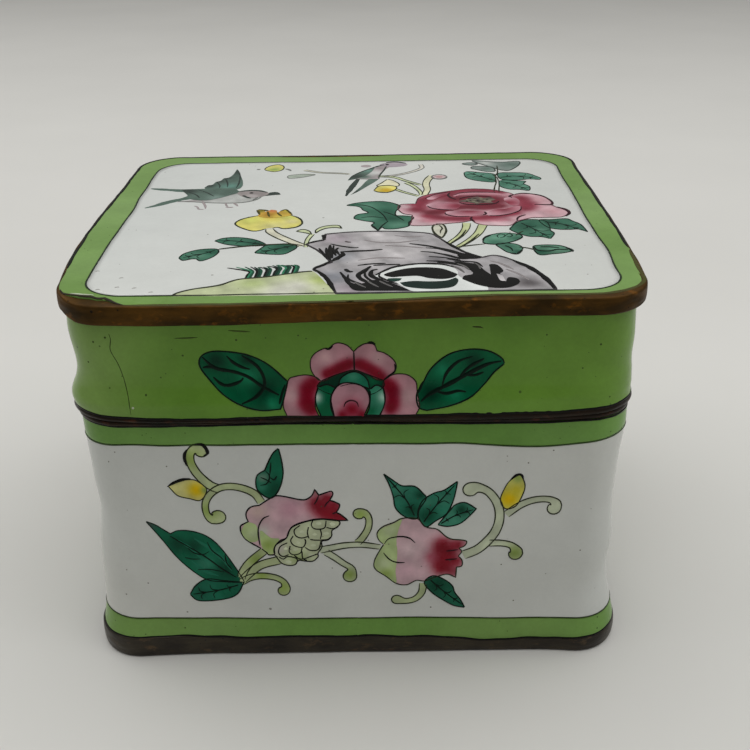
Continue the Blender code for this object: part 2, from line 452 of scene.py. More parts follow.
def copper_material():
    """The sheet under the coats, which shows only in hairlines: fired, dull and reddish."""
    nodes = Nodes("copper_sheet")
    scale = nodes.span(nodes.noise(240, 6), 0.35, 0.65)
    nodes.put(nodes.shader.inputs["Base Color"], nodes.mix(scale, (70, 36, 24), (132, 74, 48)))
    nodes.shader.inputs["Metallic"].default_value = 0.8
    nodes.put(nodes.shader.inputs["Roughness"], nodes.span(scale, 0, 1, 0.35, 0.6))
    nodes.bump(nodes.noise(700, 5), 0.0001, 0.5)
    return nodes.material


materials = {
    "white": enamel_material("white_enamel", 0.17, 0.035, 0.018, (104, 98, 86)),
    "green": enamel_material("green_enamel", 0.18, 0.10, 0.06, (52, 70, 28)),
    "inner": enamel_material("inner_enamel", 0.24, 0.09, 0.16, (46, 78, 74)),
    "painted": enamel_material("painted_enamel", 0.26, 0.10, 0.02, (70, 66, 58), 0.11),
    "edge": metal_material("edge_metal", (50, 35, 10), (90, 61, 19), (124, 78, 20), 0.55, 0.12),
    "rim": metal_material("rim_metal", (14, 11, 6), (44, 30, 17), (84, 47, 28), 0.40, 0.25),
    "foot": metal_material("foot_metal", (34, 28, 20), (60, 52, 38), (92, 72, 48), 0.38),
    "copper": copper_material(),
}
for bare in ("base_floor_plate", "lid_top_plate"):
    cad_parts[bare].data.materials.clear()
    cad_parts[bare].data.materials.append(materials["copper"])


# ---------------------------------------------------------------- meshes


def make_piece(name, points, faces, material, body, replaced=(), colours=None):
    """An object from points in millimetres, with a colour for each point if the material needs one."""
    mesh = bpy.data.meshes.new(name)
    mesh.from_pydata((points * MM).tolist(), [], faces)
    mesh.update()
    mesh.shade_smooth()
    if colours is not None:
        layer = mesh.attributes.new("paint", "FLOAT_COLOR", "POINT")
        rgba = np.hstack([to_linear(colours), np.ones((len(points), 1))])
        layer.data.foreach_set("color", rgba.astype(np.float32).ravel())
    piece = bpy.data.objects.new(name, mesh)
    bpy.context.scene.collection.objects.link(piece)
    mesh.materials.append(materials[material])
    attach(piece, body)
    if replaced:
        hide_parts(*replaced)


def grid_faces(rows, columns, wrap_rows=False, wrap_columns=False):
    """The four-sided faces of a grid of points, counted row by row."""
    faces = []
    for row in range(rows if wrap_rows else rows - 1):
        here, there = row * columns, (row + 1) % rows * columns
        for column in range(columns if wrap_columns else columns - 1):
            across = (column + 1) % columns
            faces.append((here + column, there + column, there + across, here + across))
    return faces


def ring_stations(count=420):
    """Distances round the outline, closer together on the corners."""
    weights = np.where(np.arange(9) % 2 == 1, 2.2, 1.0) * STRETCHES
    reach = np.append(0, np.cumsum(weights))
    return np.interp(np.linspace(0, reach[-1], count, endpoint=False), reach, KNOTS)


def side_by_side(s, *parts):
    """Parts of a section side by side, one row for each distance in s."""
    return np.hstack([part + 0 * s for part in parts])


def ring_piece(name, section, material, body, replaced, tint=None):
    """A closed section carried round the outline. section(s) gives its insets and its heights."""
    s = ring_stations()[:, None]
    insets, heights = section(s)
    x, y = outline_point(s, insets)
    points = np.stack([x, y, heights], axis=2).reshape(-1, 3)
    faces = grid_faces(*heights.shape, True, True)
    colours = None if tint is None else tint((s + 0 * insets).ravel(), points[:, 2])
    make_piece(name, points, faces, material, body, [replaced], colours)


def rounded_strip(s, outer, inner, bottom, top, radius, bulge=0.0, lip=()):
    """A strip's section: out along its bottom, up its rounded outside and back in, then any lip."""
    turn = np.linspace(0, math.pi / 2, 5)
    share = np.linspace(0, 1, 7)[1:-1]
    corner_insets = outer + radius * (1 - np.sin(turn))
    side_insets = outer - bulge * np.sin(math.pi * share)
    side_heights = bottom + radius + share * (top - bottom - 2 * radius)
    insets = side_by_side(
        s, inner, corner_insets, side_insets, corner_insets[..., ::-1], inner,
        *[part[0] for part in lip],
    )
    low, high = bottom + radius * (1 - np.cos(turn)), top - radius * (1 - np.cos(turn[::-1]))
    heights = side_by_side(s, bottom, low, side_heights, high, top, *[part[1] for part in lip])
    return insets, heights


def coat_section(face, low, high, rows=26, edge=0.3, thickness=COAT_THICKNESS):
    """A coat's section: its outer face follows the wall, and its two edges are rounded over."""

    def section(s):
        """Insets and heights, up the face and down the back."""
        bottom, top = low(s), high(s)
        share = (1 - np.cos(np.linspace(0, math.pi, rows))) / 2
        heights = bottom + (top - bottom) * share
        reach = np.clip(np.minimum(heights - bottom, top - heights) / edge, 0, 1)
        insets = face(s, heights) + edge * (1 - np.sqrt(1 - (1 - reach) ** 2))
        behind = top + (bottom - top) * np.linspace(0, 1, 9)
        return side_by_side(s, insets, face(s, behind) + thickness), side_by_side(s, heights, behind)

    return section


def lining_section(face, low, high, cove):
    """The coat inside a wall, from its top down and back up behind. cove(height) thickens a corner."""

    def section(s):
        """Insets and heights, down the face and up the back."""
        heights = np.linspace(high, low, 24)
        front = face(s, heights) + LINING_FACE + cove(heights)
        behind = np.linspace(low, high, 9)
        return side_by_side(s, front, face(s, behind) + LINING_BACK), side_by_side(s, heights, behind)

    return section


def wavy(height, size, turns, seed, slope=0.0):
    """A painted boundary: a height that wanders along the outline, and may fall from left to right."""

    def edge(s):
        """The boundary's height at each distance round the outline."""
        x, _ = outline_point(s, WALL_INSET)
        return height - slope * x / HALF_X + size * round_ripple(s, turns, seed)

    return edge


def foot_line(gap):
    """The green coat's lower edge, a gap above the foot. It falls away at the right."""
    edge = wavy(height_of("foot_band", True) + gap, 0.16, 26, 21, 0.3)
    return lambda s: edge(s) - 0.6 * near(s, 36, 18) - 0.75 * near(s, 26, 9) + 0.4 * near(s, -38, 8)


def foot_coat_line():
    """The upper edge of the green coat at the base's foot, which falls from left to right."""
    return wavy(height_of("base_lower_green_enamel", True) + 0.1, 0.14, 12, 22, 0.7)


def mouth_coat_line():
    """The lower edge of the green coat at the base's mouth, which sags at the right of the front."""
    edge = wavy(height_of("base_upper_green_enamel"), 0.14, 12, 23)
    return lambda s: edge(s) - 0.4 - 1.3 * near(s, 32, 10) + 0.4 * near(s, 52, 8)


def mouth_line(node, gap, size, seed):
    """A coat's edge at the base's mouth, a gap above the CAD coat's, a little higher in the middle."""
    edge = wavy(height_of(node, True) + gap, size, 30, seed)
    return lambda s: edge(s) + 0.5 * near(s, -8, 22) + mouth_lift(s)


def lid_coat_line(gap):
    """The lower edge of the lid's coat, a gap above the wire round the lid's mouth."""
    edge = wavy(height_of("lid_rim_wire", True) + gap, 0.10, 34, 61)
    return lambda s: edge(s) + lid_lift(s)


def cloudy(colours, scale, seed):
    """Drifts between three colours over a wall: most of it the first, with patches of the others."""
    first, second, third = (np.array(colour, float) for colour in colours)

    def tint(s, z):
        """The colour at each place, in sRGB."""
        x, y = outline_point(s, WALL_INSET)
        one = np.clip(0.5 + ripple((x + y) / scale, z / scale, seed), 0, 1)[:, None]
        two = 0.6 * np.clip(ripple((x - y) / scale, z / scale, seed + 1), 0, 1)[:, None]
        return (first * (1 - one) + second * one) * (1 - two) + third * two

    return tint


lid_cloud = cloudy((LID_GREEN, (94, 138, 44), (116, 158, 66)), 15, 31)
base_cloud = cloudy((BASE_GREEN, (104, 150, 64), (124, 164, 88)), 12, 33)
foot_cloud = cloudy(((122, 159, 82), (112, 154, 72), (130, 166, 96)), 12, 33)
white_cloud = cloudy((WHITE, (206, 209, 205), (217, 216, 208)), 22, 35)
inner_cloud = cloudy((TURQUOISE, (132, 194, 186), (168, 208, 200)), 18, 41)


def lid_wall_colour(s, z):
    """The lid's green, with a painted sheen that makes it paler and greyer round the front corners."""
    painted_sheen = (near(s, -50, 15) + 0.4 * near(s, 54, 10))[:, None]
    return lid_cloud(s, z) * (1 - painted_sheen) + np.array((128, 160, 84)) * painted_sheen


# ---------------------------------------------------------------- the box's own pieces


def add_copper_wall(name, node, face, body):
    """The copper sheet of a wall, which follows the coats on both sides of it."""
    low, high = heights_of(node)
    sheet = coat_section(
        lambda s, z: face(s, z) + SHEET_DEPTH,
        lambda s: low + 0 * s,
        lambda s: high + 0 * s,
        30,
        0.1,
        SHEET_THICKNESS,
    )
    ring_piece(name, sheet, "copper", body, node)


def add_base():
    """The base: foot band, three coats, mouth rim and collar, copper wall, and the linings."""
    foot_inset = inset_of("foot_band")
    lower_bottom = foot_line(0.35)
    lower_top = foot_coat_line()
    upper_bottom = mouth_coat_line()
    upper_top = mouth_line("base_upper_green_enamel", 0.05, 0.07, 24)

    def foot(s):
        """Bare band, a little battered, whose back reaches in under the green coat."""
        outer = foot_inset + 0.07 * round_ripple(s, 16, 25) - foot_corners(s)
        bottom, top = 0.03 * round_ripple(s, 5, 26) + 0.08, lower_bottom(s) + 0.15
        return rounded_strip(s, outer, foot_inset + 1.6, bottom, top, 0.4, 0.12)

    ring_piece("base_foot_band", foot, "foot", "base", "foot_band")
    lower = coat_section(base_face, lower_bottom, lambda s: lower_top(s) - SEAM_GAP, 16)
    ring_piece(
        "base_green_foot_coat", lower, "green", "base", "base_lower_green_enamel",
        foot_cloud,
    )
    middle = coat_section(
        base_face, lambda s: lower_top(s) + SEAM_GAP, lambda s: upper_bottom(s) - SEAM_GAP, 44, 0.12,
    )
    ring_piece(
        "base_white_coat", middle, "white", "base", "base_wall_enamel", white_cloud,
    )
    upper = coat_section(base_face, lambda s: upper_bottom(s) + SEAM_GAP, upper_top, 14)
    ring_piece(
        "base_green_mouth_coat", upper, "green", "base", "base_upper_green_enamel",
        base_cloud,
    )

    rim_low, rim_high = heights_of("base_rim_wire")
    rim_inset, collar_inset = inset_of("base_rim_wire"), inset_of("base_collar")

    def rim(s):
        """The dark wire at the mouth, on which the lid sits."""
        outer = rim_inset + 0.06 * round_ripple(s, 24, 27)
        bottom = rim_low - 0.25 + (0.5 * near(s, -8, 22) + mouth_lift(s))
        return rounded_strip(
            s, outer, collar_inset - 0.05, bottom, rim_high + mouth_lift(s), 0.3, 0.05,
        )

    def collar(s):
        """The upright strip inside the mouth that holds the lid in place."""
        low, high = heights_of("base_collar")
        outer = collar_inset + 0.04 * round_ripple(s, 12, 28)
        return rounded_strip(s, outer, collar_inset + 0.8, low, high, 0.25)

    ring_piece("base_mouth_rim", rim, "rim", "base", "base_rim_wire")
    ring_piece("base_lid_collar", collar, "rim", "base", "base_collar")
    add_copper_wall("base_copper_wall", "base_wall", base_face, "base")
    low, high = heights_of("base_inner_enamel")
    lining = lining_section(base_face, low, high, lambda z: 2.4 * np.clip(1 - (z - low) / 3, 0, 1) ** 2)
    ring_piece(
        "base_wall_lining", lining, "inner", "base", "base_inner_enamel", inner_cloud,
    )
    add_disc("base_floor_lining", "base_floor_enamel", "base")
    add_disc("base_underside_lining", "base_underside_enamel", "base")


def add_disc(name, node, body):
    """A flat coat with the box's rounded corners, gently uneven on both faces."""
    x, y = outline_point(ring_stations(260), inset_of(node))
    low, high = heights_of(node)
    shares = np.linspace(0, 1, 26)[1:]
    rings = []
    for part, height in [(part, high) for part in shares] + [(part, low) for part in shares[::-1]]:
        dents = 0.05 * ripple(x * part / 13, y * part / 13, 51) if part < 1 else 0
        rings.append(np.column_stack([x * part, y * part, height + dents + 0 * x]))
    count, top, bottom = len(x), len(rings) * len(x), len(rings) * len(x) + 1
    points = np.vstack(rings + [(0, 0, high), (0, 0, low)])
    faces = grid_faces(len(rings), count, False, True)
    for index in range(count):
        after = (index + 1) % count
        faces.append((top, index, after))
        faces.append((bottom, top - count + after, top - count + index))
    colours = inner_cloud(points[:, 0] * 1.7, points[:, 1])
    make_piece(name, points, faces, "inner", body, [node], colours)


def add_lid():
    """The lid: its wall's coat, edge band and mouth rim, copper wall, linings and top."""
    rim_low, rim_high = heights_of("lid_rim_wire")
    rim_inset = inset_of("lid_rim_wire")
    band_low = height_of("lid_edge_band")
    wall_top = wavy(band_low + 0.05, 0.05, 9, 62)
    wall = coat_section(lid_face, lid_coat_line(0.15), wall_top, 40)
    ring_piece(
        "lid_green_wall_coat", wall, "green", "lid", "lid_wall_enamel", lid_wall_colour,
    )

    def edge_band(s):
        """The edge band stands proud of the wall, and its top turns in under the border's coat."""
        outer = 0.1 + lid_skew(s) + 0.07 * round_ripple(s, 18, 66)
        dip = front_dip(*outline_point(s, 0.0))
        bottom = band_low + 0.08 * round_ripple(s, 12, 67) - 1.8 * dip
        lip = ((6.5, TOP - 0.45), (6.5, TOP - 0.7), (1.5, TOP - 0.7 - dip))
        return rounded_strip(s, outer, 1.5, bottom, TOP - 0.06 - dip, 0.45, 0.06, lip)

    def rim(s):
        """The dark wire round the lid's mouth, which follows the wall where it flares."""
        flared = lid_face(s, rim_high + 0.4) - lid_profile(rim_high + 0.4)
        outer = rim_inset + flared + 0.05 * round_ripple(s, 28, 68)
        low, high = rim_low + mouth_lift(s), rim_high + 0.3 + lid_lift(s)
        return rounded_strip(s, outer, rim_inset + 2.1, low, high, 0.3, 0.05)

    ring_piece("lid_edge_metal", edge_band, "edge", "lid", "lid_edge_band")
    ring_piece("lid_mouth_rim", rim, "rim", "lid", "lid_rim_wire")
    add_copper_wall("lid_copper_wall", "lid_wall", lid_face, "lid")
    low, high = heights_of("lid_inner_enamel")
    lining = lining_section(
        lid_face, low, high, lambda z: 2.0 * np.clip(1 - (high - z) / 2.5, 0, 1) ** 2,
    )
    ring_piece(
        "lid_wall_lining", lining, "inner", "lid", "lid_inner_enamel", inner_cloud,
    )
    add_disc("lid_ceiling_lining", "lid_ceiling_enamel", "lid")
    add_top()


# The white panel on the lid's top, in millimetres
PANEL_MIDDLE = np.array([0.4, -1.2])
PANEL_HALF = np.array([46.9, 42.5])
PANEL_RADIUS = 7.5


def panel_edge(s, outwards=0.0):
    """The edge of the white panel, which isn't quite parallel to the lid's own edge."""
    s = np.mod(s, PERIMETER)
    angle = np.interp(s, KNOTS, KNOT_ANGLES)
    flat = PANEL_HALF - PANEL_RADIUS
    reach = PANEL_RADIUS + outwards + 0.22 * round_ripple(s, 9, 81)
    x = PANEL_MIDDLE[0] + np.interp(s, KNOTS, flat[0] * KNOT_X) + reach * np.cos(angle)
    y = PANEL_MIDDLE[1] + np.interp(s, KNOTS, flat[1] * KNOT_Y) + reach * np.sin(angle)
    return x, y


def border_inset(s):
    """Outer edge of the border's coat, flaked away at the front left corner and worn on the right."""
    along = np.mod(s + BACK, PERIMETER) - BACK
    chip = np.clip(1.6 - 1.6 * np.abs(along + 44) / 6.5, 0, 1)
    worn = np.clip((along - 5) / 20, 0, 1) * np.clip((54 - along) / 8, 0, 1)
    ragged = 1 + 0.25 * round_ripple(s, 60, 83)
    return 0.5 + lid_skew(s) + 0.10 * round_ripple(s, 30, 82) + 1.9 * chip * ragged + 1.2 * worn


def add_top():
    """The lid's top: a white panel and a green border, one level, with rounded outer edges."""
    s = ring_stations(520)
    count = len(s)
    edge_x, edge_y = panel_edge(s)
    rings = []
    for part in np.linspace(0, 1, 40)[1:]:
        x = PANEL_MIDDLE[0] + (edge_x - PANEL_MIDDLE[0]) * part
        y = PANEL_MIDDLE[1] + (edge_y - PANEL_MIDDLE[1]) * part
        rings.append(np.column_stack([x, y, top_height(x, y)]))
    rings.append(rings[-1] - [0, 0, 0.35])
    middle = [*PANEL_MIDDLE, top_height(*PANEL_MIDDLE)]
    points = np.vstack(rings + [middle])
    faces = grid_faces(len(rings), count, False, True)
    faces += [(len(points) - 1, index, (index + 1) % count) for index in range(count)]
    tone = np.clip(0.5 + 0.6 * ripple(points[:, 0] / 20, points[:, 1] / 20, 85), 0, 1)[:, None]
    colours = np.array(WHITE) * (1 - tone) + np.array((207, 210, 206)) * tone
    # Painted shade: the white is made darker towards the right of the lid's top.
    colours -= 9 * np.clip((points[:, 0] - 18) / 24, 0, 1)[:, None]
    make_piece(
        "lid_white_panel", points, faces, "white", "lid", ["lid_panel_enamel"], colours,
    )

    outer = border_inset(s)
    outer_x, outer_y = outline_point(s, outer + 0.4)
    rings = [rings[-1], rings[-2]]
    for part in np.linspace(0, 1, 9)[1:]:
        x, y = edge_x * (1 - part) + outer_x * part, edge_y * (1 - part) + outer_y * part
        rings.append(np.column_stack([x, y, top_height(x, y)]))
    for depth, drop in ((0.22, 0.012), (0.10, 0.05), (0.02, 0.14), (0.0, 0.45)):
        x, y = outline_point(s, outer + depth)
        rings.append(np.column_stack([x, y, top_height(x, y) - drop]))
    points = np.vstack(rings)
    tint = cloudy((BORDER_GREEN, (112, 147, 74), (132, 164, 98)), 15, 86)
    colours = tint(np.tile(s, len(rings)), points[:, 1])
    faces = grid_faces(len(rings), count, False, True)
    make_piece(
        "lid_green_border", points, faces, "green", "lid", ["lid_border_enamel"],
        colours,
    )


# ---------------------------------------------------------------- painting


def on_top(u, v, lift):
    """A place on the lid's top: u to the right and v to the back."""
    return u, v, top_height(u, v) + lift


def on_wall(face, middle):
    """A place on a wall: u is the distance from the middle of one side, v the height."""

    def place(u, v, lift):
        """The same place as x, y and z, lifted off the wall."""
        x, y = outline_point(middle + u, face(middle + u, v) - lift)
        return x, y, v

    return place


def gap_to(spots, rim):
    """Distance from each spot to the nearest point of the rim."""
    return np.sqrt(((spots[:, None, :] - rim[None, :, :]) ** 2).sum(axis=2)).min(axis=1)


def closed(line):
    """The line with its first point again at its end."""
    return np.vstack([line, line[:1]])


def left_of(line):
    """Unit vectors to the left of a line's direction."""
    along = np.gradient(line, axis=0)
    along /= np.linalg.norm(along, axis=1)[:, None] + 1e-9
    return np.column_stack([-along[:, 1], along[:, 0]])


class Painting:
    """Fills and lines laid on one surface, gathered into one object.

    place(u, v, lift) gives points on the surface. shift, flip and size carry a whole motif elsewhere.
    A fill's level is the number of fills under it; a line's level keeps it above them.
    """

    def __init__(self, place, shift=(0, 0), flip=False, size=1.0):
        self.place = place
        self.shift = shift
        self.scale = (-size if flip else size, size)
        self.points, self.faces, self.colours = [], [], []
        self.count = 0

    def lay(self, spots, lifts, faces, colours):
        """Add points and faces, carried to the motif's place and lifted off the surface."""
        u, v = (self.shift[axis] + self.scale[axis] * spots[:, axis] for axis in (0, 1))
        self.points.append(np.column_stack(self.place(u, v, lifts)))
        self.colours.append(np.clip(colours, 0, 255))
        order = -1 if self.scale[0] < 0 else 1
        self.faces += [tuple(self.count + index for index in face[::order]) for face in faces]
        self.count += len(spots)

    def fill(self, points, colour, washes=(), level=0, cloud=0.07):
        """A patch of colour. Each wash (u, v, reach, colour) tints it round a spot."""
        rim = smooth_outline(points)
        low, high = rim.min(axis=0), rim.max(axis=0)
        step = np.clip(math.sqrt(np.prod(high - low)) / 20, 0.35, 0.8)
        seed = self.count % 89
        grid = np.meshgrid(*(np.arange(a, b, step) for a, b in zip(low, high)))
        lattice = np.stack(grid, -1).reshape(-1, 2)
        lattice += np.random.default_rng(seed).uniform(-0.25, 0.25, lattice.shape) * step
        spots = np.vstack([rim, lattice[gap_to(lattice, rim) > 0.5 * step]])
        ring = [(index, (index + 1) % len(rim)) for index in range(len(rim))]
        spots, _, faces, *_ = delaunay_2d_cdt([Vector(spot) for spot in spots], ring, [], 1, 1e-5)
        used = sorted({index for face in faces for index in face})
        places = {index: place for place, index in enumerate(used)}
        spots = np.array([spots[index] for index in used])
        faces = [tuple(places[index] for index in face) for face in faces]
        swell = FILL_SWELL * (1 - np.exp(-gap_to(spots, rim) / 0.4))
        lifts = PAINT_LEVEL * level + FILL_LIFT + swell
        shade = np.tile(np.array(colour, float), (len(spots), 1))
        for u, v, reach, wash in washes:
            weight = np.exp(-((spots - (u, v)) ** 2).sum(axis=1) / reach**2)[:, None]
            shade += (np.array(wash) - shade) * weight
        shade *= 1 + cloud * ripple(spots[:, 0] / 1.1, spots[:, 1] / 1.1, seed)[:, None]
        self.lay(spots, lifts, faces, shade)

    def trace(self, line, width, colour, level, start=1.0, end=1.0):
        """A bead along ready-made points. start and end are its end widths, as shares of the width."""
        run = np.append(0, np.cumsum(np.linalg.norm(np.diff(line, axis=0), axis=1)))
        ramp = max(min(run[-1] * 0.3, 3 * width + 1), 0.01)
        half = width / 2 * np.minimum(1, start + (1 - start) * run / ramp)
        half *= np.minimum(1, end + (1 - end) * (run[-1] - run) / ramp)
        half *= 1 + 0.16 * ripple(run * 1.4, 0 * run, self.count % 83)
        offsets = np.array([-1, -0.75, 0, 0.75, 1])
        top = PAINT_LEVEL * level + LINE_LIFT
        lifts = np.tile([LINE_FOOT, top, top + LINE_CREST, top, LINE_FOOT], (len(line), 1))
        lifts[[0, -1]] = LINE_FOOT
        across = left_of(line)[:, None, :] * half[:, None, None] * offsets[None, :, None]
        spots = line[:, None, :] + across
        shade = np.tile(np.array(colour, float), (spots.shape[0] * 5, 1))
        self.lay(spots.reshape(-1, 2), lifts.ravel(), grid_faces(len(line), 5), shade)

    def stroke(self, points, width=0.35, colour=INK, level=1, start=0.35, end=0.35):
        """A smooth line with tapered ends."""
        self.trace(smooth_line(points, 0.4), width, colour, level, start, end)

    def shape(self, points, colour, washes=(), level=0, line=0.3, ink=INK):
        """A fill with a line round it."""
        self.fill(points, colour, washes, level)
        self.trace(closed(smooth_outline(points)), line, ink, level + 1)

    def dot(self, u, v, radius, colour, level=0, line=0.0, ink=INK, flat=1.0):
        """A round or flattened spot, with or without a line round it."""
        turns = np.linspace(0, 2 * math.pi, 9)[:-1]
        points = [(u + radius * math.cos(turn), v + radius * flat * math.sin(turn)) for turn in turns]
        if line:
            self.shape(points, colour, (), level, line, ink)
        else:
            self.fill(points, colour, (), level)

    def vine(self, points, width, colour=VINE, bulb=0.0, washes=(), ink=OLIVE_INK, narrow=0.75):
        """A stem: a pale band with a line round it. It ends open, or swells to a round bulb."""
        line = smooth_line(points, 0.5)
        run = np.append(0, np.cumsum(np.linalg.norm(np.diff(line, axis=0), axis=1)))
        half = width / 2 * (1 + (narrow - 1) * run / run[-1])
        if bulb:
            half += (bulb - half[-1]) * np.exp(-(((run[-1] - run) / (1.1 * bulb)) ** 2))
        out = left_of(line) * half[:, None]
        turns = np.linspace(0, math.pi, 9)[1:-1, None] if bulb else np.empty((0, 1))
        ahead = np.array([out[-1, 1], -out[-1, 0]])
        cap = line[-1] + np.cos(turns) * out[-1] + np.sin(turns) * ahead
        edge = np.vstack([line + out, cap, (line - out)[::-1]])
        corners = {0, len(edge) - 1} | (set() if bulb else {len(line) - 1, len(line)})
        points = [(*spot, 1) if index in corners else tuple(spot) for index, spot in enumerate(edge)]
        self.fill(points, colour, washes)
        if bulb:
            self.trace(edge, 0.26, ink, 1, 0.5, 0.5)
        else:
            self.trace(line + out, 0.26, ink, 1, 0.5, 0.5)
            self.trace(line - out, 0.26, ink, 1, 0.5, 0.5)

    def leaf(self, points, rib, colour=LEAF, washes=(), veins=3, line=0.28, ink=LEAF_INK):
        """A leaf with a line round it, a midrib from its stalk to its tip, and veins on both sides."""
        self.shape(points, colour, washes, 0, line, ink)
        self.stroke(rib, 0.3, ink, 1, 1.0, 0.4)
        rim, middle = smooth_outline(points), smooth_line(rib, 0.3)
        sides = left_of(middle)
        for part in np.linspace(0.18, 0.72, veins):
            index = int(part * (len(middle) - 1))
            start, side = middle[index], sides[index]
            along = np.array([side[1], -side[0]])
            reach = gap_to(start[None, :], rim)[0] * 0.8
            for way in (1, -1):
                bend = start + (along * 0.75 + side * way * 0.3) * reach
                tip = start + (along * 0.8 + side * way) * reach
                self.stroke([start, bend, tip], 0.2, ink, 1, 1.0, 0.3)

    def finish(self, name, body):
        """Make the object, on its body."""
        points, colours = np.vstack(self.points), np.vstack(self.colours)
        make_piece(name, points, self.faces, "painted", body, (), colours)


def band(points, reach, colour):
    """Washes in a row along a line, for a soft band of colour."""
    return [(u, v, reach, colour) for u, v in smooth_line(points, 0.8 * reach)]


# ---------------------------------------------------------------- the lid's top


def flying_bird(art):
    """The bird in flight at the left, with its wing raised and its tail spread."""
    tail_high = [(-45.6, 20.3), (-43, 19.6), (-40, 18.9), (-37, 18)]
    tail_low = [(-44.2, 5.8), (-42, 7.6), (-39.8, 10), (-37, 12.2), (-34.5, 13.6)]
    art.stroke(tail_high, 1.9, FEATHER, 0, 0.25, 1.0)
    art.stroke(tail_low, 2.0, FEATHER, 0, 0.25, 1.0)
    belly = [
        (-39, 10.2, 1), (-35, 9.9), (-31, 9.3), (-26.5, 9), (-23.5, 9.6), (-21, 11.2), (-20, 13.8),
        (-22, 16), (-25.5, 16.2), (-30, 12.5), (-34, 11.5),
    ]
    art.fill(belly, (178, 180, 176), [(-36, 10.4, 2.5, MAUVE)])
    body = [
        (-38.6, 19.3, 1), (-35.5, 19.5), (-33.3, 19.8), (-31, 21), (-27, 21), (-26, 18.6), (-25.2, 17),
        (-26.8, 15.2), (-28.6, 13.2), (-31, 11.4), (-33.2, 11), (-35.5, 12), (-37.2, 12.8),
        (-36.4, 14.5), (-37.6, 17.3),
    ]
    art.fill(body, FEATHER, [(-37, 18, 2.5, FEATHER_DARK), (-30, 12.5, 2.0, (120, 140, 132))], 1)
    wing = [
        (-33.4, 20.2), (-33, 22.4, 1), (-32, 23), (-31.6, 25, 1), (-30.6, 26), (-30.1, 28, 1),
        (-29, 28.6), (-28.3, 31), (-27.9, 35.6, 1), (-27, 32.5), (-26.2, 29), (-25.5, 25.5), (-25.2, 22),
        (-25.9, 19.4), (-28.5, 18.6), (-31, 19),
    ]
    tips = [
        (-27.3, 33, 2.6, FEATHER_DARK), (-32.5, 22, 1.4, FEATHER_DARK), (-31, 25.5, 1.2, FEATHER_DARK),
        (-29.5, 28, 1.2, FEATHER_DARK), (-28, 21.5, 2.2, (96, 136, 124)),
    ]
    art.fill(wing, FEATHER, tips, 1)
    for shaft in (
        [(-27.7, 35), (-26.6, 30), (-26.2, 24), (-26.4, 20)],
        [(-29.8, 28.2), (-28.8, 24), (-28.4, 20.5)],
        [(-31.4, 25.2), (-30.3, 22), (-30.2, 20)],
        [(-34.8, 19), (-32.6, 16.8), (-30.4, 13.6)],
        [(-36.6, 17), (-34.6, 15), (-33.4, 12.4)],
    ):
        art.stroke(shaft, 0.4, FEATHER_DARK, 2)
    head = [
        (-25.8, 17), (-23.8, 18), (-21.5, 17.9), (-19.6, 16.9), (-18.4, 15.4), (-19.6, 14),
        (-21.2, 12.9), (-23, 12.6), (-24.8, 14.2),
    ]
    art.fill(head, (148, 140, 138), [(-22.2, 14, 1.4, (178, 172, 170))], 1)
    art.stroke([(-25.6, 17.2), (-23.6, 17.9), (-21.2, 17.8), (-19, 16.4)], 1.0, FEATHER_DARK, 2)
    art.stroke([(-24.4, 14.6), (-23.3, 13), (-22.3, 12.3)], 0.8, FEATHER_DARK, 2)
    art.stroke([(-20.8, 13.4), (-21.3, 12), (-21.9, 10.8)], 0.35, GREY, 2)
    beak = [(-19.4, 14, 1), (-17.8, 14.6), (-16.1, 14.9, 1), (-16.6, 16.3), (-17.6, 16.8), (-18.9, 16)]
    art.fill(beak, FEATHER_DARK, (), 1)
    art.dot(-22.6, 16.1, 0.45, INK, 2)
    under = [(-38, 10.4), (-34, 9.9), (-30, 9.2), (-26, 9), (-23, 9.7), (-21, 11.4), (-20.2, 13.6)]
    art.stroke(under, 0.4, GREY, 1)
    for toe in (
        [(-32.8, 11.2), (-32.1, 9), (-31.5, 7), (-31.2, 5)],
        [(-33.9, 7.2), (-33, 6.2), (-32.6, 4.9), (-31.4, 4.6)],
        [(-27.5, 9.2), (-27.1, 7.6), (-26.6, 6)],
        [(-26, 9.4), (-25.2, 8.2), (-24.5, 6.6)],
        [(-27.2, 6.2), (-26, 5.9), (-25.4, 6.3)],
    ):
        art.stroke(toe, 0.55, MAUVE)


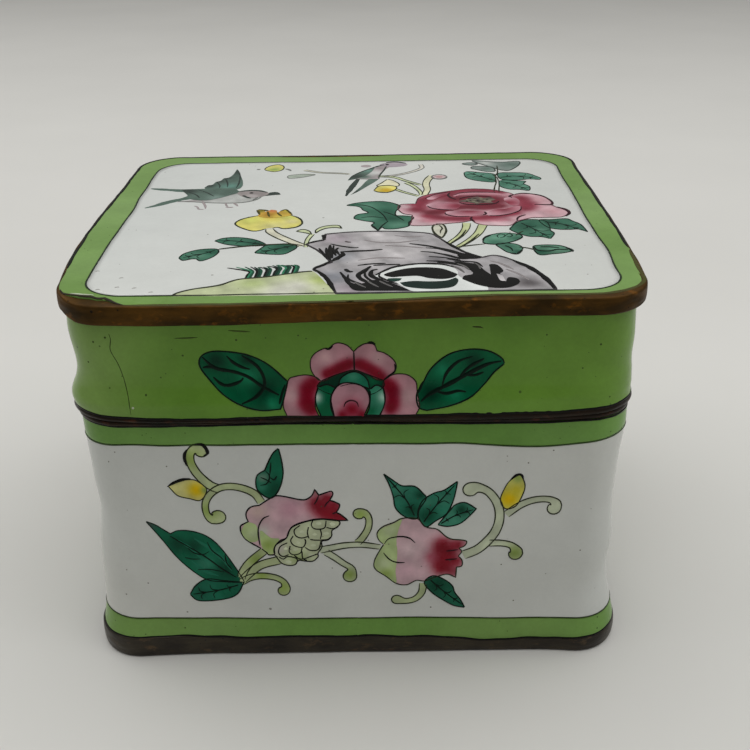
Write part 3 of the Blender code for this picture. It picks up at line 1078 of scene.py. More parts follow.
def perched_bird(art):
    """A bird on the bare branch at the back of the lid, with the buds and twigs round it."""
    tail = [
        (-0.8, 14, 1), (0.4, 17.4), (1.6, 21), (2.4, 24), (3.4, 26.8, 1), (5.6, 26.4, 1), (4.4, 23.6),
        (2.6, 20), (0.8, 16.4),
    ]
    art.fill(tail, FEATHER, [(0, 16, 2, FEATHER_DARK)])
    art.stroke([(-1.8, 13.2), (-1.2, 17), (-0.6, 20), (0.8, 26.5)], 1.3, FEATHER_DARK, 1, 0.3, 0.8)
    body = [
        (0.2, 26.6), (0.4, 30), (2, 32.6), (4.4, 35), (5.6, 37), (7.2, 37.6), (8, 36), (7, 34),
        (6, 31.2), (5.6, 29), (5.2, 26),
    ]
    art.fill(body, MAUVE, [(4, 31, 2.4, FEATHER_PALE), (2, 28, 1.6, FEATHER)])
    wing = [
        (-1.6, 25.2, 1), (-0.8, 28.4), (0.8, 31.2), (2.6, 33.4), (4.6, 35.4, 1), (3.8, 32), (2.4, 29),
        (0.4, 26.6),
    ]
    art.fill(wing, FEATHER, [(0, 28, 2, FEATHER_DARK), (3, 33, 1.4, (104, 140, 128))], 1)
    head = [(7, 36.2), (9.4, 36), (12, 37), (12.2, 38.8), (9.6, 40), (7.2, 39.6), (5.8, 38.2)]
    art.fill(head, ROCK_MAUVE)
    art.fill([(1.6, 36.4), (3, 36), (3.8, 37.2), (2.8, 38.2), (1.4, 37.6)], MAUVE)
    for line in (
        [(-1.4, 25.4), (-0.6, 28.4), (1, 31.4), (3, 34), (5.2, 36.6), (7, 38)],
        [(7.4, 37), (6.8, 33.6), (5.8, 29.6), (5.4, 26.4)],
        [(7.2, 39.8), (9.6, 40.2), (12.2, 39)],
    ):
        art.stroke(line, 0.4, FEATHER_DARK, 2)
    art.dot(7.6, 38, 0.4, INK, 2)
    arc = [(15.5, 38), (15.7, 35), (14, 32.5), (11, 30), (8, 28.6), (5.5, 28.3)]
    art.vine(arc, 1.0, (206, 202, 190), 0, (), GREY)
    art.vine([(-12, 34.2), (-8, 32), (-4, 31.2), (-1.2, 30.4)], 0.9, (206, 204, 184), 0, (), GREY)
    art.vine([(5, 28.5), (9, 27.4), (11.5, 24.5), (14.8, 21)], 1.1, STALK)
    art.vine([(11.5, 23), (13.2, 20), (14.4, 16), (14.6, 13.2)], 1.0, STALK)
    bud = [(4.3, 17, 1), (5.4, 15.8), (7.4, 15.6), (9, 17.4), (9.3, 19.6), (7.6, 20.8), (5.4, 20.2)]
    cap = [(5, 20.6), (6, 22.8), (7.4, 25.8, 1), (8.8, 24.6), (10, 22), (9.6, 20.2), (7.6, 20.6)]
    art.shape(cap, (226, 222, 190), (), 0, 0.3, OLIVE_INK)
    art.shape(bud, YELLOW, [(7, 17, 1.6, AMBER)], 1, 0.3, OLIVE_INK)
    art.vine([(9, 18), (11, 15.5), (14, 12.5)], 0.9, STALK)
    art.vine([(17.9, 28.4), (16.6, 25), (16, 21.4), (16.1, 17.4), (15.2, 13)], 1.7, (214, 212, 180))
    art.dot(19.3, 27, 1.7, PINK_PALE, 1, 0.45, GREY)
    art.dot(19.3, 27, 0.8, (190, 150, 150), 2)
    petal = [(-21.3, 35), (-20.4, 38), (-18.4, 39.2), (-17, 37.6), (-17.2, 34.6), (-19, 33.2)]
    art.shape(petal, YELLOW, [(-19, 35, 1.6, VINE_DEEP)], 0, 0.3, OLIVE_INK)
    art.stroke([(-16.6, 35.6), (-15.6, 34.8), (-15, 33.6)], 0.8, GREY)
    old_leaf = [
        (-15.5, 29.5), (-15, 27.5), (-12.5, 28), (-10, 29.5), (-9.3, 30.4), (-12, 30.8), (-14, 30.4),
    ]
    art.shape(old_leaf, (170, 180, 166), (), 0, 0.25, GREY)
    art.dot(-22.8, 35.3, 0.45, GREY)


def back_leaves(art):
    """The leaf cluster behind the peony."""
    grey_leaf, soft_leaf = (128, 140, 134), (84, 130, 112)
    dark_grey, pale_grey = (96, 116, 106), (176, 180, 174)
    far = [(28, 40), (31, 39.4), (35, 38.6), (39, 39), (38.5, 35.5), (36, 31.5), (34.5, 31.5), (33, 33)]
    middle = [(27.2, 33.5), (28, 35.3), (32, 34.5), (32.5, 31), (30.5, 30.8), (28.3, 32.5)]
    small = [(25.4, 37.6), (27.4, 38.6), (29, 37.4), (27.6, 36.2)]
    for leaf, tones in (
        (far, [(37, 36, 2.6, dark_grey), (31, 38, 2, pale_grey)]),
        (middle, [(31, 33, 1.5, dark_grey)]),
        (small, ()),
    ):
        art.shape(leaf, grey_leaf, tones, 0, 0.3, FEATHER_DARK)
    left_leaf = [
        (25.5, 30.5), (26.5, 31), (29, 30), (32, 28.5), (32, 25), (31.5, 22.3), (29.5, 22.5), (27, 24),
        (25.5, 26), (25.2, 29),
    ]
    art.leaf(
        left_leaf, [(32, 23), (29.4, 26), (26, 30.4)], soft_leaf,
        [(30.6, 24, 2.4, LEAF), (27, 28, 1.6, LEAF_LIGHT)],
    )
    upper = [
        (33, 29), (36, 29.5), (39.5, 28.8), (41.5, 26), (42.2, 24.5), (41.7, 23.5), (39.6, 24),
        (36.6, 23.4), (33.2, 24.4),
    ]
    art.leaf(
        upper, [(33, 25.6), (36.4, 26.6), (41.8, 24.4)], soft_leaf,
        [(34, 26, 2, LEAF), (39, 27, 1.8, LEAF_LIGHT)],
    )
    lower = [
        (33, 23.4), (36, 23), (38.4, 22.2), (37.8, 20.5), (38.8, 18), (38.2, 15.2), (36.5, 16),
        (34, 16.5), (32.5, 18.5), (32.3, 20.5),
    ]
    art.leaf(
        lower, [(32.8, 22.6), (35.4, 20), (38.2, 15.6)], soft_leaf,
        [(34, 21, 2, LEAF), (36.6, 18, 1.5, LEAF_LIGHT)],
    )
    for line in (
        [(33.5, 36), (33, 30), (32.2, 27), (31.8, 22), (31.2, 19), (30.5, 14.5)],
        [(32.4, 20.6), (31.9, 17), (31.6, 14)],
        [(31.5, 28.5), (32.4, 25.5), (32.4, 22.5)],
    ):
        art.stroke(line, 0.35, OLIVE_INK)


def yellow_pomegranate(art):
    """The yellow fruit on its stalk, and the little sprout beside it."""
    body = [
        (-19.4, -0.1), (-21.2, -1), (-22.8, -2.4), (-23.7, -4.6), (-23.4, -6.2), (-22, -8.1),
        (-20.2, -9.7), (-18.6, -9.6), (-17.4, -8.4), (-16, -7.9), (-15, -7.5), (-13.9, -8.3),
        (-12.6, -8.2), (-11.2, -7.2), (-10.4, -5.4), (-10.6, -3.2), (-11.6, -1.3), (-13, 0.2),
        (-16, -0.6),
    ]
    lime = (204, 206, 108)
    tones = [
        (-17, -0.4, 2.2, (204, 176, 74)), (-21, -3, 2.2, lime), (-13, -1.4, 1.6, lime),
        (-16, -7, 2.4, (208, 202, 136)), (-12.4, -4, 1.6, (220, 212, 150)),
    ]
    art.fill(body, (214, 206, 112), tones)
    art.fill(
        [
            (-17.3, -8.3, 1), (-16.9, -11), (-14.2, -15), (-10, -19.6, 1), (-8.7, -18.6, 1),
            (-11.2, -15.8), (-14.6, -11.4), (-16, -8.3, 1),
        ],
        (212, 210, 188),
    )
    art.stroke([(-17.3, -8.4), (-16.9, -11), (-14.2, -15), (-10, -19.6)], 0.35, OLIVE_INK)
    art.stroke([(-16, -8.2), (-14.6, -11.4), (-11.2, -15.8), (-8.7, -18.6)], 0.35, OLIVE_INK)
    crown = [
        (-19.6, -0.3), (-19.5, 1.8), (-20.2, 3.9, 1), (-19, 3.6), (-18.3, 2.6, 1), (-17.2, 4, 1),
        (-16.1, 3.4), (-15.9, 1.6, 1), (-15.2, 3, 1), (-14.2, 3.9), (-13.5, 2.2), (-12.8, 0.2),
        (-15, -1.2), (-17.5, -1.6),
    ]
    warm = [
        (-16.9, 3.2, 1.5, (190, 118, 74)), (-17.4, 0.6, 1.2, (150, 110, 36)),
        (-13.6, 3, 1.2, (176, 170, 64)), (-19.4, 3, 1, (120, 116, 40)), (-15, -1, 1.6, (206, 184, 80)),
    ]
    art.fill(crown, (192, 156, 64), warm, 1)
    left = [
        (-19.3, 0.2), (-21.2, -0.9), (-22.9, -2.4), (-23.8, -4.6), (-23.3, -6.4), (-21.8, -8.3),
        (-20, -9.8), (-18.6, -9.7), (-17.3, -8.5),
    ]
    right = [
        (-13.2, 0.3), (-11.6, -1.2), (-10.6, -3), (-10.3, -5.4), (-11.1, -7.4), (-12.7, -8.4),
        (-14, -8.5), (-15, -7.7), (-16.1, -8.1),
    ]
    art.stroke(left, 0.45, OLIVE_INK)
    art.stroke(right, 0.5, OLIVE_INK)
    for line in (
        [(-20.3, 3.9), (-19.7, 2.2), (-19.3, 0.3)],
        [(-17.9, 2.8), (-17.6, 0.8), (-17.2, -1.2)],
        [(-15.9, 2.2), (-15.3, 0.4), (-14.6, -0.8)],
        [(-15.4, 2.6), (-14.2, 3.8), (-13.3, 2), (-12.6, 0.2)],
        [(-20.2, 4.1), (-18.8, 3.7), (-17.6, 3.2)],
    ):
        art.stroke(line, 0.6, (74, 70, 22), 2)
    sprout_left = [(-11.2, -10.3, 1), (-10, -9.2), (-8.6, -10.2), (-8, -12.4, 1), (-9.2, -11.4)]
    sprout_right = [
        (-7.3, -11.6, 1), (-7.3, -9.6), (-6.2, -7.7), (-4.4, -6.8), (-2.8, -7), (-2.2, -8.8, 1),
        (-3.4, -8.2), (-5.2, -8.6), (-6.4, -9.8),
    ]
    art.shape(sprout_left, STALK, (), 0, 0.35, OLIVE_INK)
    art.shape(sprout_right, STALK, (), 0, 0.35, OLIVE_INK)
    art.vine([(-7.9, -12), (-8.6, -15), (-8.8, -17.5), (-8.8, -19.8)], 0.9, STALK)


def front_leaves(art):
    """The three leaves to the left of the rock."""
    high = [
        (-26.6, -15.6, 1), (-25, -14.1), (-22.6, -13.7), (-19.6, -14.7), (-17.4, -16.6),
        (-16.2, -18.6, 1), (-18.4, -18.9), (-21.5, -18.7), (-24.4, -17.6),
    ]
    art.leaf(
        high, [(-16.6, -18.2), (-19.5, -17), (-23, -15.8), (-26, -15.6)], LEAF,
        [(-18, -17.6, 2.4, LEAF_DARK)],
    )
    low = [
        (-32, -25, 1), (-31.4, -22.8), (-29.6, -21), (-27.6, -20.3), (-25.6, -20.4), (-25, -22),
        (-25.6, -24.4), (-26.8, -26.2), (-27.8, -26.8), (-28.6, -25.7, 1), (-29.6, -25.7), (-31, -26.4),
    ]
    pale = [(-28.6, -24, 1.7, LEAF_LIGHT), (-26, -22, 1.6, LEAF_DARK)]
    art.leaf(low, [(-25.6, -20.8), (-27.6, -22.8), (-31.4, -25)], LEAF, pale)
    right = [
        (-18.1, -22.6), (-17.3, -20.4), (-16.4, -18.3, 1), (-13.6, -17.8), (-11, -18.3), (-10.5, -20),
        (-11.4, -22), (-12.8, -23.7), (-15.4, -23.6), (-17, -23.2),
    ]
    art.leaf(
        right, [(-11, -18.6), (-13.6, -20.4), (-17.4, -22.6)], LEAF, [(-12.4, -19.6, 2.2, LEAF_DARK)],
    )
    art.stroke(
        [(-9.2, -19.2), (-12, -18), (-16, -18.3), (-21, -19.2), (-25.4, -20.6)], 0.5, OLIVE_INK, 2,
    )


def mound_and_grass(art):
    """The grassy mound to the left of the rock, with six tufts of grass on its crest."""
    crest = [
        (-30.2, -43.8), (-29.3, -42.4), (-27, -40.9), (-24.2, -39.9), (-22.4, -39), (-20.6, -37.2),
        (-19, -36.3), (-15, -35.5), (-11.5, -34.2), (-9, -33.3), (-6.8, -32.9),
    ]
    pale, lime = (204, 204, 190), (172, 188, 104)
    tones = [
        (-11.5, -42.5, 4.5, pale), (-9, -40, 2.5, pale), (-4.6, -37, 2.4, lime),
        (-17, -38.4, 2.5, (172, 186, 128)),
    ]
    ground = [(*crest[0], 1)] + crest[1:] + [(-4, -39.6), (-2.3, -44.1, 1), (-16, -44)]
    art.fill(ground, (188, 196, 156), tones)
    art.stroke(crest, 0.6, OLIVE_INK, 1, 0.6, 0.8)
    shades = (INK, (16, 50, 38), (26, 76, 56))
    for tuft in range(6):
        foot = np.array([-18.6 + 1.6 * tuft, -36.5 + 0.45 * tuft])
        for blade in range(3):
            root = foot + (0.4 * blade, 0.1 * blade)
            sweep = 2.6 - 0.9 * blade if tuft == 0 else 0
            rise = 5.9 - 0.2 * tuft + 0.3 * math.sin(2 * tuft + blade)
            tip = root + (-1.3 + 0.3 * blade - sweep, rise)
            bright = (tuft, blade) in ((0, 1), (4, 0), (5, 1))
            shade = (46, 122, 88) if bright else shades[blade]
            bend = root + (0.25 + 0.2 * math.sin(5 * tuft), 3.9)
            art.stroke([root, root + (0.2, 2), bend, tip], 0.5, shade, 1, 0.8, 0.3)


def rock(art):
    """The pierced scholar's rock in greys, with its dark hollows and brush lines."""
    shape = [
        (-5.4, -15.8, 1), (-5.3, -12.3, 1), (-1.4, -11.3), (3.7, -10.9), (8.4, -11.1), (12.7, -11.9),
        (15.4, -13), (16.6, -15.1), (17.5, -17.1), (18.5, -19.4), (19.8, -21.7), (21.1, -23.8),
        (22.8, -25.7), (24, -26.8, 1), (26, -25.8), (27.9, -26.8), (30.1, -29.5), (31.9, -32.1),
        (33.7, -36.7), (34.6, -40.1), (34.9, -43.4, 1), (16, -43.7), (-2.4, -43.8, 1), (-4.1, -37.2),
        (-5.2, -34.2), (-6.7, -32.1), (-6.1, -30.6), (-3.6, -28.5, 1), (-5.2, -24.4), (-6.5, -21.6),
        (-8.7, -18.4, 1), (-8.2, -17.5),
    ]
    tones = [
        (-3, -15, 3, ROCK_MAUVE), (5, -14, 4, ROCK_PALE), (2, -26, 3, ROCK_PALE),
        (10, -24, 4, ROCK_PALE), (-2, -25, 3, (140, 142, 146)), (12, -15, 3, ROCK),
        (16, -28, 3, ROCK_DARK), (-3, -36, 3, (128, 130, 136)), (26, -29, 3, ROCK),
        (30.5, -40, 2.4, (92, 87, 88)), (7, -19, 4, (182, 178, 178)), (0, -42, 3, ROCK_MAUVE),
    ]
    art.fill(shape, ROCK, tones, 0, 0.1)
    art.trace(closed(smooth_outline(shape)), 0.6, (58, 54, 56), 1)
    hollow = [
        (4.3, -35.6), (6.1, -33.2), (7.9, -31.5), (10.9, -30.3), (13.4, -30.1), (16.3, -30.6),
        (18.3, -32.3), (18.9, -34.1), (19, -36.6), (21.2, -39.6), (23.3, -41.6), (23.4, -43.4, 1),
        (16, -43.7), (11, -43.6), (8.8, -41, 1), (7.8, -39), (6.4, -37.6), (5, -36.6),
    ]
    art.fill(hollow, (222, 226, 222), (), 1, 0.02)
    dark = [
        (5.8, -35.4), (7.5, -33.7), (10.4, -32.2), (13.3, -31.9), (16.1, -32.6), (17.8, -34.3),
        (18.8, -35.6, 1), (18, -37.1), (16.1, -37.9), (13.7, -37.4), (11.7, -36.2), (8.9, -36.4),
        (7.1, -36.6),
    ]
    art.fill(dark, INK, (), 2)
    under = [
        (8.5, -39.4, 1), (10.9, -38.7), (13.7, -39), (16.5, -38.7), (18.3, -37.3, 1), (18.7, -38.4),
        (18.2, -40.6), (17, -42), (14.2, -42.6), (11.5, -42.2), (9.4, -41.2),
    ]
    art.fill(under, (24, 42, 36), (), 2)
    edge = [(6.4, -37.4), (7.8, -37.2), (8.9, -37.3, 1), (8.5, -38.4), (7.2, -38.7)]
    art.fill(edge, (24, 56, 46), (), 2)
    mass = [
        (18.5, -28.8, 1), (20.7, -29.6), (22.7, -30.8), (23.7, -33.8), (24.6, -36, 1), (24.8, -32.4),
        (24.9, -30.8), (26.2, -31), (27, -34), (26.2, -35.4, 1), (26.6, -37), (26.8, -39.6, 1),
        (27.5, -37.5), (28.9, -38), (29.2, -39.6), (28.4, -41.2), (26.5, -42.4), (23.8, -42.1),
        (21.5, -40.6), (19.4, -38, 1), (19.9, -36.4), (21.4, -35.6), (21.4, -33.2), (20.1, -31.2),
    ]
    art.fill(mass, INK, (), 2)
    art.fill([(25.6, -35.8, 1), (26.5, -36.6), (26.8, -39.4, 1), (25.9, -39)], ROCK_PALE, (), 3)
    left = [
        (-0.6, -37.9, 1), (0.7, -39.6), (2.2, -39.4), (3.6, -38), (5.2, -38.2), (6.6, -39),
        (8.6, -41.2, 1), (10.2, -43.2, 1), (4, -42.9), (1, -42.7), (-0.1, -41),
    ]
    art.fill(left, INK, (), 2)
    art.fill([(19.8, -24, 1), (21.6, -25.2), (23.8, -27), (21.6, -27.6), (19.6, -26.2)], INK, (), 2)
    hollow_edge = [
        (4.2, -35.7), (6.1, -33.1), (7.9, -31.4), (10.9, -30.2), (13.4, -29.9), (16.3, -30.4),
        (18.5, -32),
    ]
    for width, line in (
        (1.0, [(-5.8, -12.5), (-5.5, -14), (-5.6, -15.4)]),
        (0.7, [(-5.2, -15.4), (-6, -16), (-7.3, -16.8), (-8.6, -17.9)]),
        (0.7, [(-6.3, -20.4), (-5.3, -23.7), (-4.2, -27.1)]),
        (0.8, [(-4.9, -20.2), (-4.7, -22.7), (-3.8, -27.8)]),
        (1.0, [(-4.2, -18.6), (-4.1, -21.7), (-3.6, -26.4)]),
        (0.6, [(-3.5, -18.9), (-3.5, -21.7), (-2.9, -25.1)]),
        (0.7, [(-2.4, -20.3), (-3, -21.7), (-2.3, -24.5)]),
        (1.3, [(-1.9, -22.7), (-1.7, -24.3), (-2.7, -26.4), (-3.8, -28.2)]),
        (0.55, [(-4.3, -18.1), (-2.7, -19.2), (-1.2, -20), (0.4, -20.6), (1.4, -20.4)]),
        (0.75, [(-2.4, -22.9), (0.9, -22.5), (3.5, -22.3), (5.9, -21.7)]),
        (0.9, [(-3.8, -27.6), (-5.1, -29.8), (-6.5, -31.4), (-6.6, -32.8)]),
        (0.9, [(-1.2, -31.9), (-0.4, -33.4), (0.5, -33.5)]),
        (0.8, [(-2, -33.4), (-0.9, -37), (-0.2, -39.6), (0.9, -41.9)]),
        (0.7, [(-0.5, -34.7), (-0.4, -37.2), (1.2, -39.2), (3, -40.6)]),
        (1.2, [(3.6, -30.6), (2.2, -33.5), (1.3, -35.2), (2, -37.6), (4.3, -40.2)]),
        (0.6, [(2.6, -33.2), (2.5, -35.6), (3.6, -38.2), (6.2, -41.1)]),
        (1.1, [(4.9, -32.4), (3.7, -33.2), (3.6, -35.6), (5, -37.8), (7.2, -40.4)]),
        (0.5, [(5.2, -34.6), (5, -36.2), (6.6, -38.4), (8.2, -40.2)]),
        (0.5, [(3.8, -30.5), (6.2, -30.2), (9, -30.1)]),
        (0.6, [(1, -30.4), (3.4, -29.7), (6.4, -29.4)]),
        (0.9, hollow_edge),
        (0.7, [(10.7, -18.6), (14.6, -20.3), (18.2, -22.7), (21.0, -25.3), (23.8, -26.9)]),
        (0.4, [(13.6, -21.2), (16.0, -21.8), (18.2, -23.6), (20.4, -25.6)]),
        (0.35, [(12.6, -23.2), (15.4, -24), (18.4, -26)]),
        (0.35, [(14, -26), (17, -26.8), (20, -28.2)]),
        (0.9, [(15.1, -24), (17.3, -25.2), (20.1, -27.3), (23.3, -27)]),
        (1.0, [(18.1, -23.6), (20.3, -24.9), (22.6, -26.4)]),
        (0.6, [(17.2, -27.4), (20, -28.8), (22.6, -29.6), (23.6, -32)]),
        (0.9, [(15.4, -29.2), (18.4, -30.2), (21, -32), (21.6, -34.6)]),
        (0.6, [(13.4, -28.4), (17, -29), (20.4, -30.8)]),
        (0.5, [(29.2, -28.4), (30.6, -31), (32.4, -33.4)]),
        (1.3, [(29.6, -29), (31.6, -31.9), (33.4, -36.3), (34.3, -39.9), (34.7, -43.2)]),
        (1.0, [(-6.6, -32), (-5.2, -34.4), (-4, -37.4), (-2.6, -43.2)]),
        (0.8, [(17.4, -17), (18.6, -19.5), (19.8, -21.8), (21.1, -24), (23.9, -26.9)]),
    ):
        art.stroke(line, width, INK, 2)
    for line in (
        [(2, -16), (5, -17.6), (9, -17.8), (13, -16.6)],
        [(6, -19.4), (10, -20.2), (14, -21.4)],
        [(1, -27.6), (5, -26.4), (10, -26.8)],
        [(8, -13.6), (11, -14.6), (14, -14.2)],
        [(25, -28.6), (27, -30.4), (29, -33.6)],
        [(27.4, -33), (29.4, -35.6), (31, -38.8)],
    ):
        art.stroke(line, 0.7, (142, 136, 136), 1)
    for line in (
        [(17.8, -30.9), (19.2, -32.7), (20.1, -34.9)],
        [(18.9, -30.1), (20.3, -31.6), (21.1, -33.6)],
        [(22.1, -29.7), (22.9, -31.4), (23, -33.4)],
        [(0.5, -38.6), (1.5, -40.2), (2.8, -41.8)],
        [(2.6, -37.8), (3.6, -39.7), (5, -41.7)],
        [(4.8, -38.3), (6, -40), (7.4, -41.7)],
    ):
        art.stroke(line, 0.5, (108, 106, 104), 3)
    art.stroke([(-1.5, -16.6), (-0.9, -17.2), (-0.1, -17.4)], 0.5, (84, 74, 76), 2)
    art.stroke([(19.6, -21), (21.4, -20.4), (23, -19.9), (25.4, -19.3)], 0.55, OLIVE_INK)


def peony(art):
    """The big flower: pink outer petals washed with crimson, inner petals and a small grey heart."""
    outer = [
        (13.1, 7, 1), (9.9, 6.5), (9.3, 4.2), (9.5, 2.4), (10.4, 0.2), (12.1, -0.8, 1), (11.8, -4.8),
        (11.5, -7.3), (13.5, -7.8), (16.2, -7.5), (19.2, -6.6), (21.9, -6), (24.1, -4.8, 1),
        (24.6, -6.5), (26.1, -7.9), (29, -8.5), (31.4, -8.4), (33, -5.8, 1), (36.3, -3.8, 1),
        (39.7, -3.9), (42.4, -3.7), (44.2, -1.3), (43.9, 0.9), (42.4, 2.7), (41.5, 4.5, 1), (41.8, 7.4),
        (40.2, 11.1), (36.9, 12.9), (34.6, 12.3, 1), (33.4, 14), (30, 16.4), (25.7, 17.2), (21.9, 16.2),
        (18.9, 15), (16.3, 13.6), (14, 11.2),
    ]
    rose, pale = (176, 112, 124), (206, 178, 182)
    tones = []
    for reach, tone, line in (
        (1.1, rose, [(14, -5), (19, -4.6), (23, -4.2)]),
        (1.1, rose, [(26, -4.6), (31, -4.8)]),
        (1.8, CRIMSON, [(13.4, 2.6), (13.4, 5.8), (14.8, 9.2), (17.3, 12), (20.6, 13.6)]),
        (1.3, CRIMSON, [(20, 14.8), (24, 16), (28, 16), (32, 14.4)]),
        (1.3, CRIMSON, [(15, -1.4), (18, -3), (21.5, -3.6), (26.6, -3), (30, -2), (33.6, -0.4)]),
        (1.9, CRIMSON, [(35.8, 2.2), (36.6, 6), (35.6, 9.8)]),
        (2.6, CRIMSON_DEEP, [(21, 9.6), (25, 10), (30, 9), (27, 6)]),
        (1.5, CRIMSON_DEEP, [(15.6, 0.8), (18, 1), (20, 3.2), (23, 4.3), (27.2, 3.6), (31, 4.4)]),
    ):
        tones += band(line, reach, tone)
    tones += [
        (39.6, 8, 1.8, PINK), (41, 0, 2, PINK), (12, -5, 1.6, pale), (28, -7.6, 1.4, pale),
        (11, 5, 1.2, pale),
    ]
    tones += [(18, -7, 1.8, pale), (14, -7, 1.6, pale), (31, -7.6, 1.6, pale)]
    art.shape(outer, (202, 166, 172), tones, 0, 0.3, (92, 56, 62))
    left = [
        (15.3, 5.7), (17, 7.7), (19.5, 7.9), (21.9, 6.6), (22.4, 4.4), (20.9, 2.4), (18.1, 3), (16.1, 4),
    ]
    front_left = [
        (19.1, 0.9), (21.5, 1.7), (24.3, 1.6), (27, 1), (26.5, -1), (24, -2.2), (20.9, -2.1),
        (19.1, -0.7),
    ]
    front_right = [
        (27.2, -0.6), (29.2, 1.8), (31.6, 2.4), (33.5, 3.7), (34.9, 3.9), (34.3, 1.1), (32.3, -0.8),
        (29.4, -2), (27.7, -1.9),
    ]
    right = [(32.2, 9.7), (34, 10.4), (35.2, 8.3), (34.7, 4.8), (33.3, 4.6), (32.2, 7.3)]
    back = [(15.6, 10.4), (17.4, 13), (20.2, 14.4), (20.4, 12.8), (18.6, 11.6), (16.8, 9.6)]
    for petal, root in (
        (left, (21.8, 4.8)),
        (front_left, (24, 1.8)),
        (front_right, (31, 2.6)),
        (right, (32.6, 6.6)),
        (back, (20, 12.4)),
    ):
        tones = [(*root, 2.3, CRIMSON), (*petal[0][:2], 1.5, (198, 160, 168))]
        art.fill(petal, (178, 128, 138), tones, 1)
    art.stroke(
        [(21.4, 11.8), (23.2, 13.4), (26.9, 13.8), (31.1, 13), (33.3, 11.4)], 1.4, (186, 132, 142), 1,
    )
    heart = [
        (22.3, 8.2), (24, 9.3, 1), (24.8, 10.4), (26.6, 11.4, 1), (27.6, 10.4), (29.4, 10.6),
        (30.3, 8.7, 1), (29.2, 8), (29.6, 6.5, 1), (27.2, 6.6), (26, 5.9, 1), (24.6, 7.2),
    ]
    tones = [(25, 8.6, 1.2, (122, 118, 100)), (28.4, 8.6, 1.2, (116, 112, 96))]
    art.fill(heart, (96, 82, 76), tones, 1, 0.2)
    for spot in range(16):
        reach = (spot / 16) ** 0.5
        u, v = 26.4 + 3.1 * math.cos(2.4 * spot) * reach, 8.6 + 1.8 * math.sin(2.4 * spot) * reach
        art.dot(u, v, 0.3 + 0.04 * (spot % 4), ((58, 50, 44), (132, 128, 108))[spot % 2], 2, flat=0.8)
    for width, line in (
        (0.9, [(42.2, 3), (43.9, 1), (44.3, -1.2), (43.2, -3.4)]),
        (0.5, [(34.6, 12.4), (36.9, 13), (40.2, 11.2), (41.8, 7.4), (41.5, 4.6), (37.8, 5)]),
        (0.6, [(21, 14.8), (20.4, 13), (20.8, 11), (22, 9.4)]),
        (0.6, [(34.6, 12.3), (33.5, 11.2), (34, 9.8)]),
        (0.6, [(24.3, -2.4), (23.9, -4), (24.5, -6)]),
        (0.5, [(27, 0.8), (27.3, -0.8), (26.4, -1.6)]),
        (0.4, [(22.2, 7.4), (24, 5.9), (27, 5.5), (29.8, 6.1), (31, 8)]),
        (0.35, [(22.4, 9.6), (24.2, 11.2), (27, 11.7), (29.8, 10.8)]),
        (0.4, [(15.4, 5.6), (16.2, 3.8), (18.2, 2.6), (21, 2)]),
        (0.35, [(19, 0.8), (19.1, -0.8), (21, -2.2), (24, -2.4)]),
        (0.35, [(27.6, -2), (29.4, -2.2), (32.4, -1), (34.5, 1.2), (35.1, 4)]),
        (0.5, [(33, -5.6), (33.6, -3.4), (35.4, -1.8)]),
        (0.3, [(21.6, 12.4), (23.4, 14.3), (27, 14.6), (31, 13.8)]),
        (0.3, [(15.2, 10.2), (17.6, 13.4), (20.6, 14.8)]),
    ):
        art.stroke(line, width, PLUM, 2)


